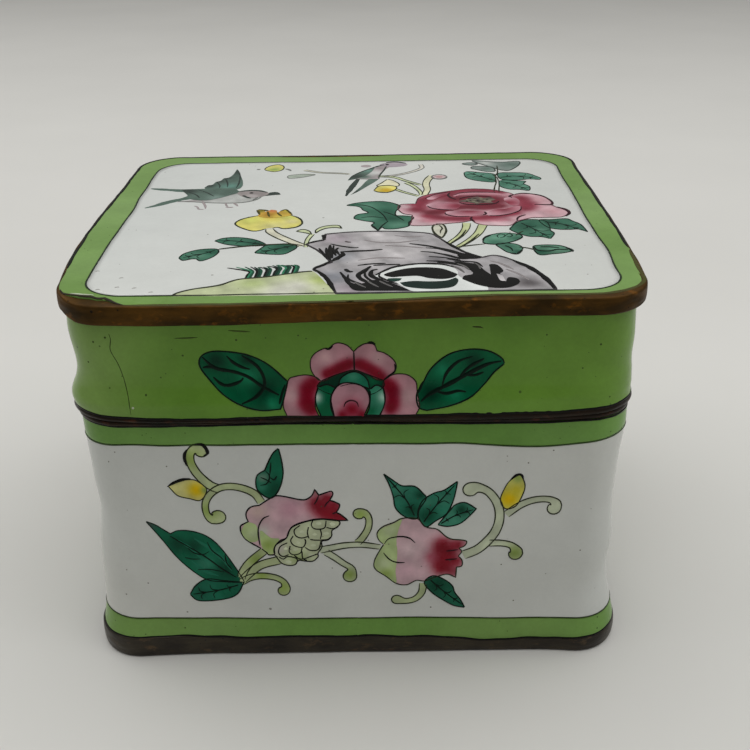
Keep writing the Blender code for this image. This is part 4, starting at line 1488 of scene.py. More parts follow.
def peony_leaves(art):
    """The leaves round the peony, and the stems below it."""
    mass = [
        (-1.4, 6.5), (0.5, 8), (3, 8.8), (6, 9), (8.5, 7.5), (9.7, 5), (8.8, 2), (8.8, -0.8),
        (10.5, -1.2), (12.3, -2.3), (11.5, -5), (11, -8), (8.5, -9.5), (6.5, -9.5), (5.8, -8.5),
        (5, -10.5, 1), (4.2, -8.7), (3.7, -7), (4.2, -5.3), (2, -4), (0.2, -2.5), (0.8, 0), (3, 1.2),
        (2, 3), (1.5, 4.8), (0.5, 5.8),
    ]
    tones = [
        (7.5, -3, 2.5, LEAF_DARK), (7, 2, 2, LEAF_DARK), (3, 6, 2.2, LEAF_LIGHT),
        (3, -2.5, 1.8, LEAF_LIGHT), (9, -7, 2, LEAF_LIGHT),
    ]
    art.shape(mass, LEAF, tones, 0, 0.3, LEAF_INK)
    for line in (
        [(-0.6, 6.8), (2, 6.4), (4, 4.5), (6, 0), (7, -5)],
        [(6, 2), (8.6, -1), (10.4, -4.6)],
        [(1.4, -2), (4, -1.6), (6.4, -2.6)],
        [(5, -10), (6, -7), (7.2, -4.4)],
    ):
        art.stroke(line, 0.35, LEAF_INK)
    for line in (
        [(8.6, 7.4), (9.6, 6), (9.9, 5)], [(3.7, -6.8), (4.3, -8.6), (5, -10.4)],
        [(11.4, -4.6), (11.2, -8)],
    ):
        art.stroke(line, 0.55, LEAF_INK)
    first = [
        (33, -6.5), (35.5, -5), (38.5, -6), (39, -9), (38.8, -12), (39.2, -14), (38, -17, 1),
        (36.5, -15.8), (34, -15.3), (32, -13), (31, -11), (31.3, -9.8),
    ]
    art.leaf(
        first, [(33.6, -7), (35.6, -11), (38, -16.4)], LEAF,
        [(34.6, -8.6, 2.4, LEAF_DARK), (37, -12, 1.5, LEAF_LIGHT)],
    )
    second = [
        (37.5, -5.5), (40, -5.3), (43, -5), (44, -6.5), (45.3, -9), (45.8, -13.5, 1), (44.5, -11.8),
        (42.5, -11.8), (40.5, -11.5), (38.5, -10),
    ]
    art.leaf(second, [(38.4, -6.6), (41.6, -8.4), (45.4, -13)], LEAF, [(39.6, -7.4, 2.2, LEAF_DARK)])
    fourth = [
        (27.3, -19.7), (29, -19), (31.2, -19.9), (32, -22.2), (30.6, -24.9, 1), (29.1, -24.4),
        (28.2, -22.6),
    ]
    art.shape(fourth, LEAF_LIGHT, [(29.4, -21, 1.6, LEAF), (31, -24, 1.2, LEAF_DARK)], 0, 0.28, LEAF_INK)
    third = [
        (25, -17.6), (25.7, -15.2), (27.5, -13.8), (29.5, -13.2), (32, -14), (32.8, -15.5),
        (31.6, -17.4), (29.8, -18.8), (27.5, -19.7), (25.3, -19.1),
    ]
    tones = [(31.6, -16.4, 1.5, LEAF), (27, -18.6, 1.4, LEAF)]
    art.shape(third, (92, 138, 116), tones, 1, 0.3, LEAF_INK)
    fifth = [
        (34.1, -21.2), (35.6, -20.5), (37.8, -20.6), (39.3, -21.1), (40.6, -22.6), (41.3, -23.9, 1),
        (40.3, -24.6), (38.9, -25.2), (37, -25.6), (34.8, -26), (34.1, -24.1),
    ]
    tones = [(38.4, -22.6, 1.6, (96, 138, 116)), (35, -24.6, 1.6, LEAF_DARK)]
    art.shape(fifth, (74, 112, 92), tones, 0, 0.3, LEAF_INK)
    for width, line in (
        (0.3, [(28.2, -16.2), (28, -14.8), (28.8, -13.9), (29.6, -14.6), (29, -15.8), (28.2, -16.2)]),
        (0.3, [(29.6, -14.8), (30.4, -13.8), (31, -14.6), (30.4, -15.6), (29.6, -15.2)]),
        (0.5, [(25, -18), (25.4, -16), (27, -14.4)]),
        (0.5, [(29.3, -24.8), (30.6, -25.2), (31.9, -23)]),
        (0.3, [(28.8, -20.4), (29.8, -22), (30, -23.8)]),
        (0.5, [(34.2, -21.2), (34.6, -23.4), (36.6, -24), (38.4, -23.2), (40.4, -23.6)]),
        (0.35, [(35.2, -21.6), (37.2, -21.8), (39, -22.4)]),
        (0.6, [(40, -22.2), (40.8, -23.4), (41, -24.6)]),
    ):
        art.stroke(line, width, LEAF_INK, 2)
    art.stroke([(31.4, -15.4), (32.4, -13.4), (33.6, -12)], 0.5, OLIVE_INK)
    art.stroke([(31.2, -21.4), (32.8, -22), (34.5, -23.4)], 0.5, OLIVE_INK)
    hooked = [
        (16.4, -6.9, 1), (15.8, -8.9), (15.9, -11.8), (16.5, -13.9), (17.3, -15.4, 1), (17.9, -13.6),
        (18.4, -11), (18.3, -8.3), (17.9, -6.9, 1),
    ]
    art.shape(hooked, (206, 206, 188), (), 0, 0.5, OLIVE_INK)
    art.stroke([(17.2, -7.6), (17.7, -9.6), (17.3, -11.2), (17.1, -13)], 0.35, OLIVE_INK, 2)
    for width, stem in (
        (1.6, [(22.8, -6.4), (22.3, -10), (20.8, -14.4), (18.3, -18.9)]),
        (1.8, [(26, -7.6), (24.6, -12.6), (22.6, -16.8), (19.9, -21)]),
    ):
        art.vine(stem, width, (190, 198, 150), 0, (), OLIVE_INK, 0.6)
        art.stroke([(u + 0.1, v - 0.6) for u, v in stem[1:]], 0.4, OLIVE_INK, 2)


def border_lines(art):
    """The dark lines along both sides of the green border, with a painted highlight at the chipped front
    left corner.
    """
    s = np.append(ring_stations(), PERIMETER)
    edge = np.column_stack(panel_edge(s))
    art.trace(edge, 0.34, (38, 48, 34), 1)
    keep = (s > 70) & (s < PERIMETER - 62)
    outer = np.column_stack(outline_point(s, 0.75 + lid_skew(s) + 0.1 * round_ripple(s, 30, 82)))
    art.trace(outer[keep], 0.65, (24, 26, 22), 1, 0.3, 0.3)
    front = np.append(s[~keep & (s > 100)] - PERIMETER, s[~keep & (s < 100)])
    worn = np.column_stack(outline_point(front, border_inset(front) + 0.3))
    art.trace(worn[front > -39], 0.8, (74, 72, 34), 1, 0.3, 0.3)
    art.trace(worn[(front > -53) & (front < -37)], 0.5, (40, 32, 20), 1, 0.3, 0.3)
    # A painted highlight: pale strokes along the chipped front left corner of the border.
    glare = np.column_stack(outline_point(front, border_inset(front) + 0.9))
    art.trace(glare[(front > -50) & (front < -44)], 0.4, (196, 202, 180), 1, 0.2, 0.2)


def top_marks(art):
    """Dirt marks on the white, and pale glare where the coat is chipped at the corner."""
    for u, v in ((-45.5, -31.5), (-40.5, -35), (-43.4, -40.5), (-40.3, -39.5), (-37.2, -40), (-34, -42)):
        art.stroke([(u - 0.5, v - 0.2), (u, v + 0.1), (u + 0.4, v)], 0.25, (172, 172, 166), 1, 0.4, 0.4)


# ---------------------------------------------------------------- the lid's walls


def lid_flower(art):
    """A pink flower at the lid's mouth between two leaves."""
    green, dark, bright = (2, 92, 58), (0, 50, 32), (22, 126, 88)
    thin = (44, 38, 26)
    left = [
        (-26.2, 62.4), (-26, 64.2), (-24.4, 65.2), (-22, 65.3), (-18, 64.6), (-14.6, 62.8),
        (-11.2, 59.4, 1), (-11.8, 57), (-12.6, 54.6, 1), (-16, 54.4), (-19.4, 55.4), (-22.6, 57.4),
        (-24.8, 60),
    ]
    tones = [
        (-15, 58, 2.2, dark), (-23.4, 63.6, 1.6, dark), (-18, 60.6, 1.6, bright), (-18, 63.6, 1.2, dark),
        (-14, 55.6, 1.2, bright),
    ]
    art.shape(left, green, tones, 0, 0.3, LEAF_INK)
    for width, line in (
        (0.75, [(-25.8, 64.4), (-23.6, 62.2), (-20.4, 61.4), (-18, 60.4), (-15.6, 58.6), (-12.6, 57)]),
        (0.7, [(-24.2, 60.6), (-22.8, 59.2), (-21.4, 58.9), (-19.4, 59.6), (-18.8, 60.4)]),
        (0.7, [(-19, 64.6), (-16.2, 62.2), (-15.2, 59.2), (-16.6, 57), (-19.4, 55.6)]),
        (0.65, [(-21.6, 64.6), (-20.4, 63.2), (-18.8, 62.2), (-17.4, 61.8)]),
        (0.65, [(-25.9, 62.2), (-24.6, 62.4), (-22.6, 62)]),
        (0.55, [(-12.8, 55.4), (-12.2, 57.4), (-11.6, 59)]),
    ):
        art.stroke(line, width, LEAF_INK)
    right = [
        (12.2, 58.6), (13.8, 61.6), (16.8, 64.2), (20.4, 65.1), (23.6, 64.7), (25.8, 63.4),
        (26.4, 62.3, 1), (24.6, 60.6), (23, 58.5), (20.6, 56.3), (17, 54.8), (13, 54, 1), (11.6, 54.6),
        (11.2, 56.8),
    ]
    tones = [
        (13.6, 57, 1.8, dark), (21, 63, 1.6, dark), (15.6, 61.4, 1.4, bright), (18, 57, 1.3, bright),
    ]
    art.shape(right, green, tones, 0, 0.3, LEAF_INK)
    for width, line in (
        (0.9, [(11.8, 55.6), (13.6, 57), (16.8, 58.6), (20, 60.4), (23.4, 62.2), (26, 62.8)]),
        (0.65, [(15.6, 58), (16.4, 60.6), (18.4, 62.8), (21, 63.8)]),
        (0.7, [(18.6, 59.8), (20.4, 61.8), (23, 63.4)]),
        (0.65, [(14.6, 57.4), (16.4, 57), (18.4, 57.4), (20, 57.2)]),
        (0.6, [(19.6, 60.2), (21.4, 60.2), (23, 60.8)]),
        (0.5, [(11.4, 57), (12.4, 59.2)]),
    ):
        art.stroke(line, width, LEAF_INK)
    side_left = [
        (-5.4, 59.4, 1), (-6.3, 60.2), (-8, 60.6), (-10, 60.3), (-11, 59.8), (-11.5, 57.9),
        (-12.1, 55.3), (-11.5, 53.3, 1), (-5.9, 53.1, 1), (-6.5, 54.8), (-6.4, 56.8), (-6, 58.4),
    ]
    red = band([(-6.6, 59.2), (-8, 57.8), (-8.3, 56.2), (-7, 54.4)], 1.25, PETAL_RED)
    art.shape(side_left, PETAL, red + [(-10.6, 57, 1.4, PETAL_PALE)], 0, 0.2, thin)
    side_right = [
        (5.5, 59.4, 1), (6.7, 60.3), (8.1, 60.6), (9.8, 60.3), (11.1, 59.1), (11.3, 57.5), (11.6, 55.9),
        (11.7, 54.6), (11, 53.1, 1), (4.6, 53.1, 1), (5.5, 55), (5.6, 56.6), (5.3, 58.3),
    ]
    red = band([(6, 58.9), (7.1, 57.6), (7.3, 56.2), (6.6, 54.4)], 1.05, PETAL_RED)
    art.shape(side_right, PETAL, red + [(9.8, 56.6, 1.6, PETAL_PALE)], 0, 0.2, thin)
    high_left = [
        (-5.6, 59.4, 1), (-6.5, 60.4), (-7.1, 61.8), (-7, 63.6), (-6.1, 64.8), (-4.6, 65.6),
        (-3.8, 65.5, 1), (-3.1, 66.3), (-2.1, 66.6), (-0.7, 66.1), (0.4, 64.9, 1), (0.4, 61.4, 1),
        (-1.7, 60.9), (-3.4, 60.2), (-4.6, 59.5),
    ]
    red = band([(-4.4, 60.7), (-2.4, 61.6), (-0.2, 62.7)], 0.95, PETAL_RED)
    art.shape(high_left, PETAL, red + [(-4.6, 64, 1.4, PETAL_PALE)], 0, 0.2, thin)
    high_right = [
        (0.4, 64.9, 1), (1.3, 65.8), (2.5, 66.4), (3.9, 66.2), (4.4, 65, 1), (5.8, 64.5), (7.2, 63.3),
        (7.7, 62.1), (7.4, 61.1), (6.4, 60.3), (5.5, 59.4, 1), (4.1, 59.6), (2.6, 60.6), (0.4, 61.4, 1),
    ]
    red = band([(1, 62.6), (2.8, 61.9), (4.2, 60.8), (5.2, 59.8)], 0.95, PETAL_RED)
    art.shape(high_right, PETAL, red + [(4.6, 63.8, 1.4, PETAL_PALE)], 0, 0.2, thin)
    art.stroke([(0.4, 64.9), (0.45, 61.4)], 0.3, INK, 2, 0.8, 0.8)
    art.stroke([(2.6, 66.4), (3.4, 66.6), (4.2, 66.2)], 0.5, INK, 2)
    art.stroke([(7.4, 62.6), (7.5, 61.2), (6.4, 60.2), (5.4, 59.4)], 0.4, INK, 2)
    art.stroke([(-4.6, 65.6), (-3.8, 65.5), (-3.1, 66.2)], 0.4, INK, 2)
    hood = [
        (-5.5, 59.4, 1), (-3.4, 60.3), (-1.7, 60.9), (0.4, 61.4), (2.6, 60.6), (5.5, 59.4, 1),
        (5.4, 58.2), (3, 57), (0, 58), (-3, 57), (-6, 58.2),
    ]
    art.shape(hood, dark, [(3.6, 59.4, 1.2, green)], 0, 0.2)
    cap = [
        (-2.4, 58.4, 1), (-2, 59.8), (-0.9, 60.7), (0.4, 61.1), (1.7, 60.6), (2.7, 59.5), (3, 58, 1),
        (0.2, 58.9),
    ]
    art.shape(cap, (20, 108, 80), [(0.2, 60.2, 1.1, (60, 140, 110))], 1, 0.2)
    inner_left = [
        (-5.9, 58.3, 1), (-6.4, 56.8), (-6.3, 55.2), (-5.5, 53.1, 1), (-3.3, 53.1, 1), (-3.8, 55),
        (-3.7, 56.8), (-2.9, 58.2, 1), (-4.4, 58.8),
    ]
    art.shape(inner_left, green, [(-6.2, 56.6, 1, (206, 222, 212))], 1, 0.26)
    inner_right = [
        (3.1, 57.8, 1), (4.2, 58.6), (5.4, 58.1, 1), (5.7, 56.6), (5.5, 55), (4.7, 53.1, 1),
        (2.3, 53.1, 1), (2.9, 54.6), (3.1, 56.2),
    ]
    tones = [(5.4, 56.6, 1, (170, 204, 188)), (3.2, 54, 1, green)]
    art.shape(inner_right, (52, 132, 102), tones, 1, 0.26)
    ball = [
        (-3.7, 56.1), (-3.2, 57.7), (-2, 58.9), (-0.3, 59.1), (1.5, 58.6), (2.6, 57.6), (3, 56),
        (2.5, 54.4), (1.9, 53.1, 1), (-3.2, 53.1, 1),
    ]
    red = [(-0.1, 54.4, 1.6, PETAL_RED), (-1.8, 53.4, 0.9, PETAL_RED), (1.6, 53.4, 0.9, PETAL_RED)]
    art.shape(ball, (178, 132, 142), red, 2, 0.24)
    art.stroke([(-1.6, 54.6), (-1.2, 55.7), (-0.2, 56.1), (0.8, 55.7), (1.1, 54.6)], 0.26, PLUM, 3)


def lid_marks(art):
    """Firing pits, streaks and a long crack in the lid's front coat, the chips along its mouth, and one
    pale dot of painted highlight.
    """
    brown = (62, 80, 34)
    for u, v in (
        (-29, 64.6), (-19.6, 67.4), (-44.2, 67.3), (-46.3, 63), (-41.9, 68.2), (-36, 57.3), (42.8, 65.7),
    ):
        art.dot(u, v, 0.2, brown)
    for u, v in ((40, 61.2), (45.2, 55.5), (-9, 68.1), (33.4, 67.6), (-33.2, 60.4)):
        art.dot(u, v, 0.15, brown)
    # A painted highlight: one pale dot on the green.
    art.dot(-38.4, 55.1, 0.22, (196, 206, 176))
    art.stroke([(-30.2, 67.9), (-28, 67.9), (-26, 68)], 0.3, (66, 84, 34), 0, 0.2, 0.2)
    art.stroke([(-21, 69.2), (-18.6, 69), (-17, 68.9)], 0.35, (72, 90, 36), 0, 0.2, 0.2)
    art.stroke([(20.5, 69.3), (22, 69.2), (22.6, 68.9)], 0.3, (60, 66, 30), 0, 0.3, 0.2)
    crack = [
        (-41.2, 69), (-41, 67.8), (-41.3, 66.2), (-41.1, 65), (-40.4, 63.2), (-39.9, 61.2),
        (-39.4, 58.6), (-39, 56), (-38.9, 53.6),
    ]
    art.stroke(crack, 0.15, (52, 64, 26), 0, 0.6, 0.4)
    for index in range(9):
        u = 20 + 2.1 * index + 0.5 * math.sin(5 * index)
        size = 0.35 + 0.2 * math.sin(3 * index) ** 2
        chip = [
            (u - size * 2, 52.85), (u - size, 53.1 + size * 0.4), (u + size, 53.1 + size * 0.3),
            (u + size * 2, 52.85),
        ]
        art.stroke(chip, 0.4, (24, 20, 16), 1)


# ---------------------------------------------------------------- the base's walls


def left_fruit(art):
    """The left pomegranate, split open over its seeds, with the leaf and vines that carry it."""
    art.vine(
        [(-22.2, 17.6), (-21.4, 19.6), (-20, 21.6), (-17.2, 24.2)], 1.6, VINE, 0,
        [(-19, 22, 1.6, VINE_DEEP)], OLIVE_INK, 1.0,
    )
    art.vine([(-22, 17.2), (-19.7, 19.6), (-17.7, 21), (-14.4, 22)], 1.6, VINE, 0, (), OLIVE_INK, 1.1)
    curl = [
        (-22.2, 16.8), (-20.3, 17.9), (-18.1, 18.3), (-15.6, 17.9), (-14, 16.8), (-13.7, 15.4),
        (-14.1, 14.7),
    ]
    art.vine(curl, 1.5, VINE, 1.1, [(-14.2, 15.6, 1.6, VINE_DEEP), (-18, 18.4, 1.4, VINE_DEEP)])
    loop = [
        (-17.2, 34.8), (-18.3, 36.6), (-20.2, 37.7), (-22.6, 38.2), (-24.8, 37.8), (-26.6, 36.4),
        (-27.6, 34.4), (-27.5, 32.2), (-26.6, 31.1), (-25.4, 31.6),
    ]
    art.vine(loop, 1.5, VINE, 1.4, [(-27, 33, 1.8, VINE_DEEP)])
    hook = [
        (-24.6, 37.6), (-26.4, 38.4), (-28.4, 40.6), (-29.5, 43), (-29.5, 45), (-28.6, 46),
        (-27.4, 45.6),
    ]
    art.vine(hook, 1.8, VINE, 1.2, [(-29.4, 44, 2, VINE_DEEP)])
    art.stroke([(-30.3, 42.4), (-30.6, 44.4), (-30, 46)], 0.7, INK, 2, 0.2, 0.2)
    art.stroke([(-28.5, 47.1), (-27, 46.8), (-26.3, 45.2), (-27.2, 44.6)], 0.7, INK, 2, 0.2, 0.2)
    tip = [
        (-13.5, 46.1, 1), (-14.6, 45), (-15.6, 43), (-16.2, 41.6, 1), (-17.6, 40.6), (-18, 38.9),
        (-17.6, 37.2), (-15.6, 35.7), (-14, 37.2), (-13, 40.2), (-13, 43),
    ]
    tones = [
        (-16.6, 40, 1.2, (120, 150, 132)), (-14.6, 37.6, 2, WALL_LEAF_DARK),
        (-17, 38, 1, WALL_LEAF_LIGHT),
    ]
    art.shape(tip, WALL_LEAF, tones, 0, 0.3, LEAF_INK)
    for line in (
        [(-16.2, 41.6), (-15.4, 40.4), (-16, 38.8), (-17.4, 38.4)],
        [(-17.2, 40.2), (-16, 39.6), (-15, 38.8)],
        [(-15.4, 40.2), (-14.6, 39.6), (-14, 40.6)],
        [(-15, 43.4), (-15.2, 41.6), (-15.4, 40.4)],
    ):
        art.stroke(line, 0.3, LEAF_INK)
    body = [
        (-17.8, 24.6, 1), (-19.7, 25.9), (-20.8, 26.9), (-21.4, 28.3), (-21.4, 29.6), (-20.6, 30.2),
        (-19.9, 30.6, 1), (-20.2, 31.6), (-20.1, 32.7), (-19.2, 33.8), (-17.6, 34.2, 1), (-15.8, 35.5),
        (-14.5, 36.2), (-13.1, 36.1), (-11.8, 35.8), (-10.2, 35.4), (-9, 35.4), (-7.9, 36.2),
        (-7.3, 37.5, 1), (-6.6, 36.3, 1), (-5.3, 36.8), (-4.3, 37.1), (-4, 36.5), (-4.6, 35.2, 1),
        (-3.3, 34.6), (-2.8, 34.1), (-3.2, 33), (-3.5, 32.6, 1), (-2.5, 31.9), (-1.4, 30.8, 1),
        (-3.7, 30.8), (-6.2, 31.1), (-9.2, 30.6), (-11.9, 29.3), (-13, 27), (-15.1, 25.3),
        (-15.4, 23.2, 1), (-16.5, 23.2), (-16.8, 23.7),
    ]
    red = band([(-7, 34.6), (-5.4, 32.6), (-2.6, 31.4)], 1.7, CROWN_RED)
    red += [(-5, 35.6, 1.3, CROWN_RED), (-3.6, 34, 1, CROWN_RED)]
    tones = [
        (-18, 33, 1.6, (196, 172, 164)), (-12, 33.4, 2.4, (198, 150, 164)),
        (-17.2, 28.6, 1.2, (206, 206, 196)),
    ]
    art.fill(body, FRUIT, tones + red + [(-7.3, 36.9, 0.6, (150, 96, 96))])
    low_left = [
        (-20.7, 29.9), (-19.9, 30.5), (-18.5, 29.9), (-18.2, 28), (-18.4, 26.4), (-19.7, 26.1),
        (-20.8, 27), (-21.3, 28.4),
    ]
    art.fill(low_left, FRUIT_GREEN, [(-19, 28, 1.2, FRUIT_PALE)], 1)
    low_right = [
        (-17.7, 28.7), (-16.6, 27.7), (-15.7, 27), (-14.3, 26.8), (-15.2, 25.2), (-15.5, 23.6),
        (-16.5, 23.4), (-17.6, 24.8), (-17.9, 26.8),
    ]
    art.fill(low_right, FRUIT_GREEN, [(-16.4, 25.4, 1.4, VINE_DEEP)], 1)
    art.trace(closed(smooth_outline(body)), 0.3, INK, 1)
    art.stroke([(-15.8, 32.0), (-17.1, 31.3), (-18.0, 29.6), (-18.2, 27.7), (-18.0, 25.1)], 0.32, INK, 2)
    for line in (
        [(-6.6, 36.3), (-7, 35.2), (-7.6, 34.2)],
        [(-4.6, 35.2), (-5.3, 34.4), (-5.7, 33.6)],
        [(-3.5, 32.6), (-4.3, 32.2)],
    ):
        art.stroke(line, 0.3, PLUM, 2)
    seeds = [
        (-15.3, 23.2, 1), (-15.5, 24.2), (-15.1, 25.4), (-14.1, 26.5), (-13, 27), (-12.6, 28.1),
        (-11.9, 29.4), (-10.7, 30.2), (-9.2, 30.7), (-7.8, 31.1), (-6.2, 31.2), (-3.7, 30.9),
        (-2.9, 30.4), (-3.3, 29.4), (-4.4, 28.6), (-4.5, 27.4), (-5.2, 26.5), (-6.4, 26.2), (-6.4, 24.9),
        (-7.2, 23.5), (-7.2, 22.7), (-8.2, 21.7), (-9.6, 21.7), (-11, 21.9), (-11.5, 21), (-12.7, 20.7),
        (-14.1, 21.2), (-14.8, 22.2),
    ]
    tones = [(-14.4, 24.6, 1.2, (204, 200, 188)), (-11, 22.4, 1.6, (164, 180, 124))]
    art.fill(seeds, (190, 198, 164), tones)
    art.trace(closed(smooth_outline(seeds)), 0.28, INK, 1)
    for line in (
        [(-7.8, 31.1), (-8.2, 29.8), (-7.5, 29), (-5.8, 29.2), (-5.4, 30.9)],
        [(-5.6, 29.4), (-4.2, 29), (-3.1, 29.7), (-2.8, 30.4)],
        [(-8.7, 29.6), (-9, 28.1), (-8.7, 26.7)],
        [(-10.2, 29.9), (-11.4, 28.8), (-11.2, 27.5), (-10.1, 27), (-8.8, 27.4)],
        [(-6.6, 29), (-6.4, 27.8), (-6.7, 26.6)],
        [(-8.7, 26.7), (-7.5, 26.5), (-5.4, 26.6), (-4.6, 27.2)],
        [(-11.6, 27.6), (-12.2, 26.4), (-11.6, 25.3), (-10, 24.9), (-9.4, 26.1), (-9.6, 26.9)],
        [(-9.7, 25), (-8.6, 24.2), (-7.1, 24.4), (-6.5, 26.4)],
        [(-12.7, 26), (-14.2, 25.1), (-14.6, 23.6), (-13.8, 22.8), (-12.6, 23.3)],
        [(-12.3, 25.4), (-12.6, 23.9), (-11.8, 23.2), (-10.5, 23.6), (-10.1, 24.9)],
        [(-10.2, 24.2), (-10.1, 22.4), (-9.2, 21.8)],
        [(-14.7, 22.8), (-13.8, 22.2), (-12.9, 22.8), (-11.4, 22.4), (-11, 21.5)],
        [(-11.8, 23.2), (-11, 22.4), (-10.1, 22.2), (-8.6, 22.8), (-7.2, 23.4)],
    ):
        art.stroke(line, 0.28, INK, 1, 0.9, 0.9)
    for u, v in (
        (-6.8, 30.2), (-4.4, 30), (-10, 28.4), (-7.6, 27.8), (-5.6, 28), (-10.8, 26), (-8, 25.4),
        (-13.2, 24.6), (-11.4, 24.4), (-8.6, 23.2), (-12.8, 21.6),
    ):
        art.fill([(u - 0.7, v), (u, v - 0.45), (u + 0.7, v), (u, v + 0.45)], (206, 214, 184), (), 0.3)


def left_leaves(art):
    """The long pair of leaves and the yellow bud at the left end."""
    long_leaf = [
        (-39.1, 30.4, 1), (-37.4, 29.7), (-35.6, 28.4), (-34.7, 27.8, 1), (-33.2, 28.5), (-30.7, 28.4),
        (-28.2, 27.5), (-26.1, 25.6), (-24.1, 22.4), (-22.2, 18.6), (-21.5, 16.8, 1), (-25, 16.9),
        (-28.7, 17.5), (-31.9, 20.2), (-34.2, 23), (-36.5, 26.7),
    ]
    tones = [
        (-25, 20, 2.4, WALL_LEAF_DARK), (-30.6, 25, 1.8, WALL_LEAF_DARK),
        (-33.4, 25.6, 1.6, WALL_LEAF_DARK), (-38.6, 29.8, 1.6, (70, 84, 78)),
        (-28.6, 21, 1.8, WALL_LEAF_LIGHT), (-24.4, 23.4, 1.2, (28, 128, 92)),
    ]
    art.shape(long_leaf, WALL_LEAF, tones, 0, 0.22, LEAF_INK)
    for line in (
        [(-33.6, 26.6), (-31, 24.4), (-28.6, 21.4)],
        [(-30.6, 27), (-27.6, 24.6), (-25.4, 21.8)],
        [(-31.4, 22), (-28.8, 19.4), (-26, 18.2)],
        [(-27.2, 25), (-25.2, 22.2), (-23.6, 19.2)],
    ):
        art.stroke(line, 0.8, (30, 112, 86), 0.2, 0.1, 0.1)
    for width, line in (
        (0.35, [(-22.8, 17.8), (-25.6, 20), (-28.4, 22.6), (-31.6, 25), (-35, 27.4)]),
        (0.3, [(-31.8, 24.8), (-30.6, 23.6), (-29, 23.2), (-27.6, 24)]),
        (0.3, [(-28, 26.2), (-27.2, 24.2), (-25.6, 22.6), (-24.8, 21.4)]),
        (0.3, [(-24.8, 23.4), (-24.6, 21.4), (-23.6, 19.6)]),
        (0.25, [(-30.4, 19.8), (-27.8, 19.8), (-25, 19.2)]),
        (0.25, [(-32.6, 22.6), (-31, 22.2), (-29.4, 22.2)]),
    ):
        art.stroke(line, width, LEAF_INK)
    low = [
        (-32.2, 14, 1), (-30.9, 16.1), (-28.6, 17.6), (-25.5, 17.2), (-21.6, 16.8, 1), (-23.1, 14),
        (-25.8, 12.8), (-30.5, 12.5),
    ]
    art.leaf(low, [(-22.6, 16.2), (-26.4, 15), (-31.8, 14)], (28, 104, 80), [(-25, 15, 2, WALL_LEAF)])
    bud = [
        (-34.1, 38.1, 1), (-32.6, 39.1), (-30, 39.6), (-28.6, 39.2), (-27.1, 37.5), (-28.4, 35.2),
        (-30.4, 35.5), (-32.5, 36.1), (-33.6, 37.4),
    ]
    gold = [(-29, 37.4, 1.5, (226, 188, 0)), (-27.4, 37.4, 0.8, VINE_DEEP)]
    art.shape(bud, (212, 208, 138), gold, 0, 0.22, OLIVE_INK)
    art.stroke([(-34.4, 38), (-32.8, 39), (-31.2, 39.6), (-29.8, 39.8)], 0.6, INK, 2, 0.2, 0.2)


def middle_vines(art):
    """The three stems between the two fruits."""
    art.vine([(-6.9, 24.2), (-4.6, 24.7), (-2, 25.2), (1, 25.3), (4.6, 24.7)], 1.4, VINE_PALE)
    art.vine(
        [(-5.8, 23.8), (-4.2, 22.6), (-2.5, 21.1), (-1, 19.8), (-1.3, 18)], 1.4, VINE_PALE, 1.3,
        [(-1.4, 18.4, 1.5, VINE_DEEP)],
    )
    art.vine(
        [(0.2, 25.7), (1.2, 26.8), (2.3, 28.9), (2.5, 31), (1.8, 32.2), (0.7, 32.2)], 1.4, VINE, 1.1,
        [(1, 32, 1.2, VINE_DEEP)],
    )


